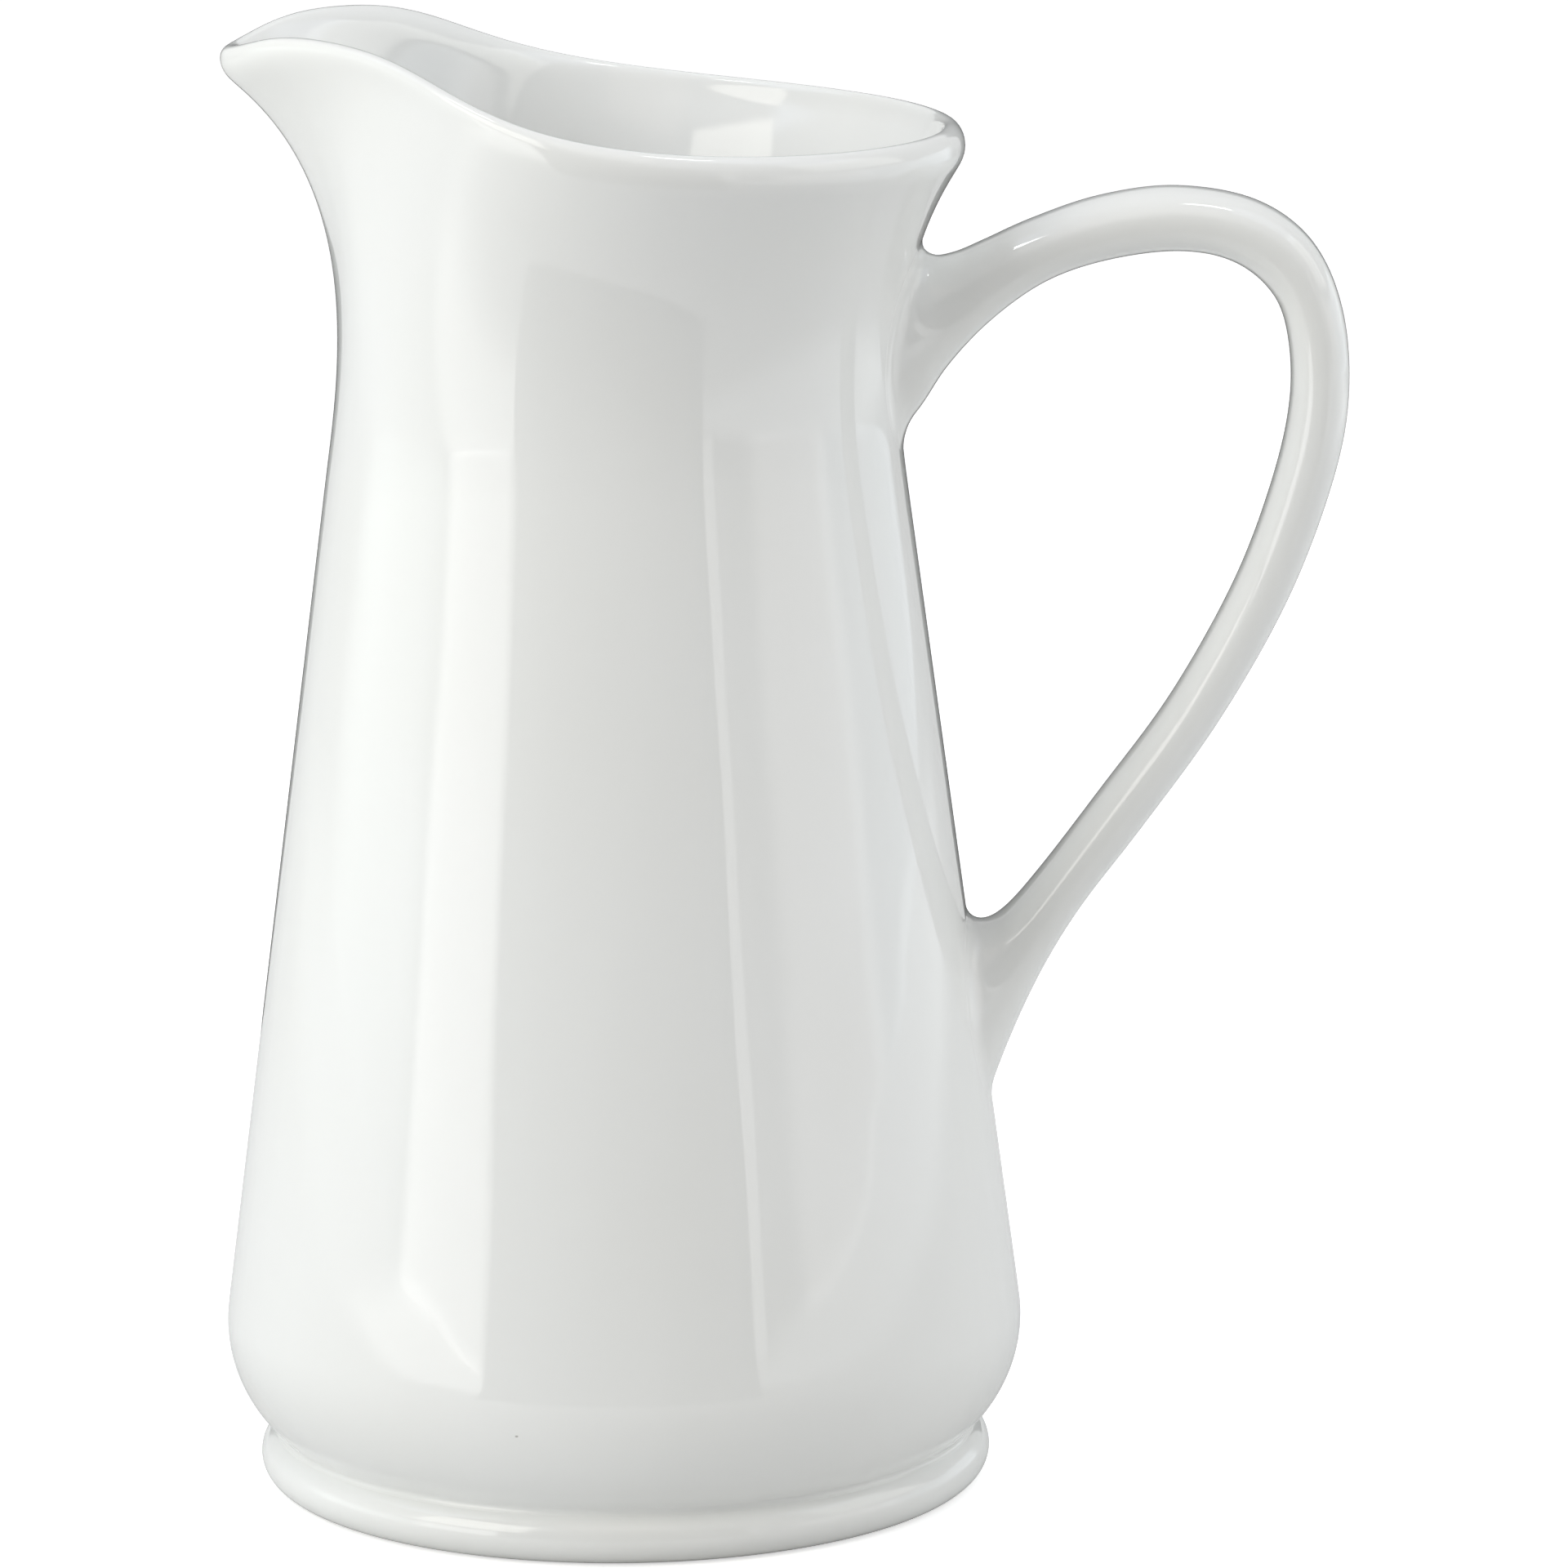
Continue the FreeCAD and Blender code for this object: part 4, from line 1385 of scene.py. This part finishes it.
    @staticmethod
    def sheet(name: str, corners: Sequence[Place]) -> bpy.types.Object:
        """Makes a flat four-cornered sheet that the camera doesn't see.

        Args:
            name: The sheet's name.
            corners: Its corners in turn, in metres.

        Returns:
            The sheet.
        """
        deselect_all()
        bpy.ops.mesh.primitive_plane_add(size=1, location=(0, 0, 0))
        sheet = bpy.context.object
        sheet.name = name
        first, second, third, fourth = corners
        for vertex, corner in zip(sheet.data.vertices, (first, second, fourth, third)):
            vertex.co = corner
        sheet.visible_camera = False
        return sheet

    def set_sky(self) -> None:
        """Fills the room with even light."""
        world = bpy.data.worlds.new("room")
        bpy.context.scene.world = world
        world.use_nodes = True
        nodes, links = world.node_tree.nodes, world.node_tree.links
        sky = nodes["Background"]
        sky.inputs["Color"].default_value = (1, 1, 1, 1)
        shown = nodes.new("ShaderNodeMapRange")
        shown.inputs["To Min"].default_value = self.sky
        shown.inputs["To Max"].default_value = self.backdrop
        links.new(nodes.new("ShaderNodeLightPath").outputs["Is Camera Ray"], shown.inputs["Value"])
        links.new(shown.outputs["Result"], sky.inputs["Strength"])

    def set_camera(self) -> None:
        """Sets the camera up."""
        lens = bpy.data.cameras.new("camera")
        lens.lens = self.camera_lens
        lens.clip_end = 50
        camera = bpy.data.objects.new("camera", lens)
        bpy.context.scene.collection.objects.link(camera)
        tilt = Matrix.Rotation(radians(90 - self.camera_pitch), 4, "X")
        roll = Matrix.Rotation(radians(self.camera_roll), 4, "Z")
        camera.matrix_world = Matrix.Translation(self.camera_place) @ tilt @ roll
        bpy.context.scene.camera = camera


class Pitcher:
    """The whole pitcher: vessel, foot, tread and handle."""

    def __init__(self) -> None:
        """Prepares the finishes."""
        self.glaze = GlazeFinish().make()
        self.clay = ClayFinish().make()

    def build(self) -> None:
        """Builds each piece, dresses it and hangs it on the frame."""
        vessel = Vessel(VesselSizes())
        skin = vessel.build()
        self.dress(skin, self.glaze, Slot.GLAZE, Vessel.NODES)
        self.dress(Foot(vessel).build(), self.glaze, Slot.GLAZE, Foot.NODES)
        self.dress(Tread(vessel).build(), self.clay, Slot.CLAY, ())
        self.dress(Handle(HandleSizes(), skin).build(), self.glaze, Slot.GLAZE, Handle.NODES)

    @staticmethod
    def dress(piece: bpy.types.Object, finish: Material, slot: Slot, nodes: Sequence[str]) -> None:
        """Gives a piece its finish and ties it to the frame.

        Args:
            piece: The finished piece.
            finish: Its finish.
            slot: Not used.
            nodes: The CAD nodes that it stands for.
        """
        finish.wear(piece)
        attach(piece, BODY)
        if nodes:
            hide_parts(*nodes)
        stands_for = ", ".join(nodes) or "itself"
        log.info("%s: %d faces, for %s", piece.name, len(piece.data.polygons), stands_for)


def main() -> None:
    """Builds the pitcher and its studio."""
    logging.basicConfig(level=logging.INFO, format="%(name)s: %(message)s")
    Pitcher().build()
    Studio().build()


if __name__ == "__main__":
    main()
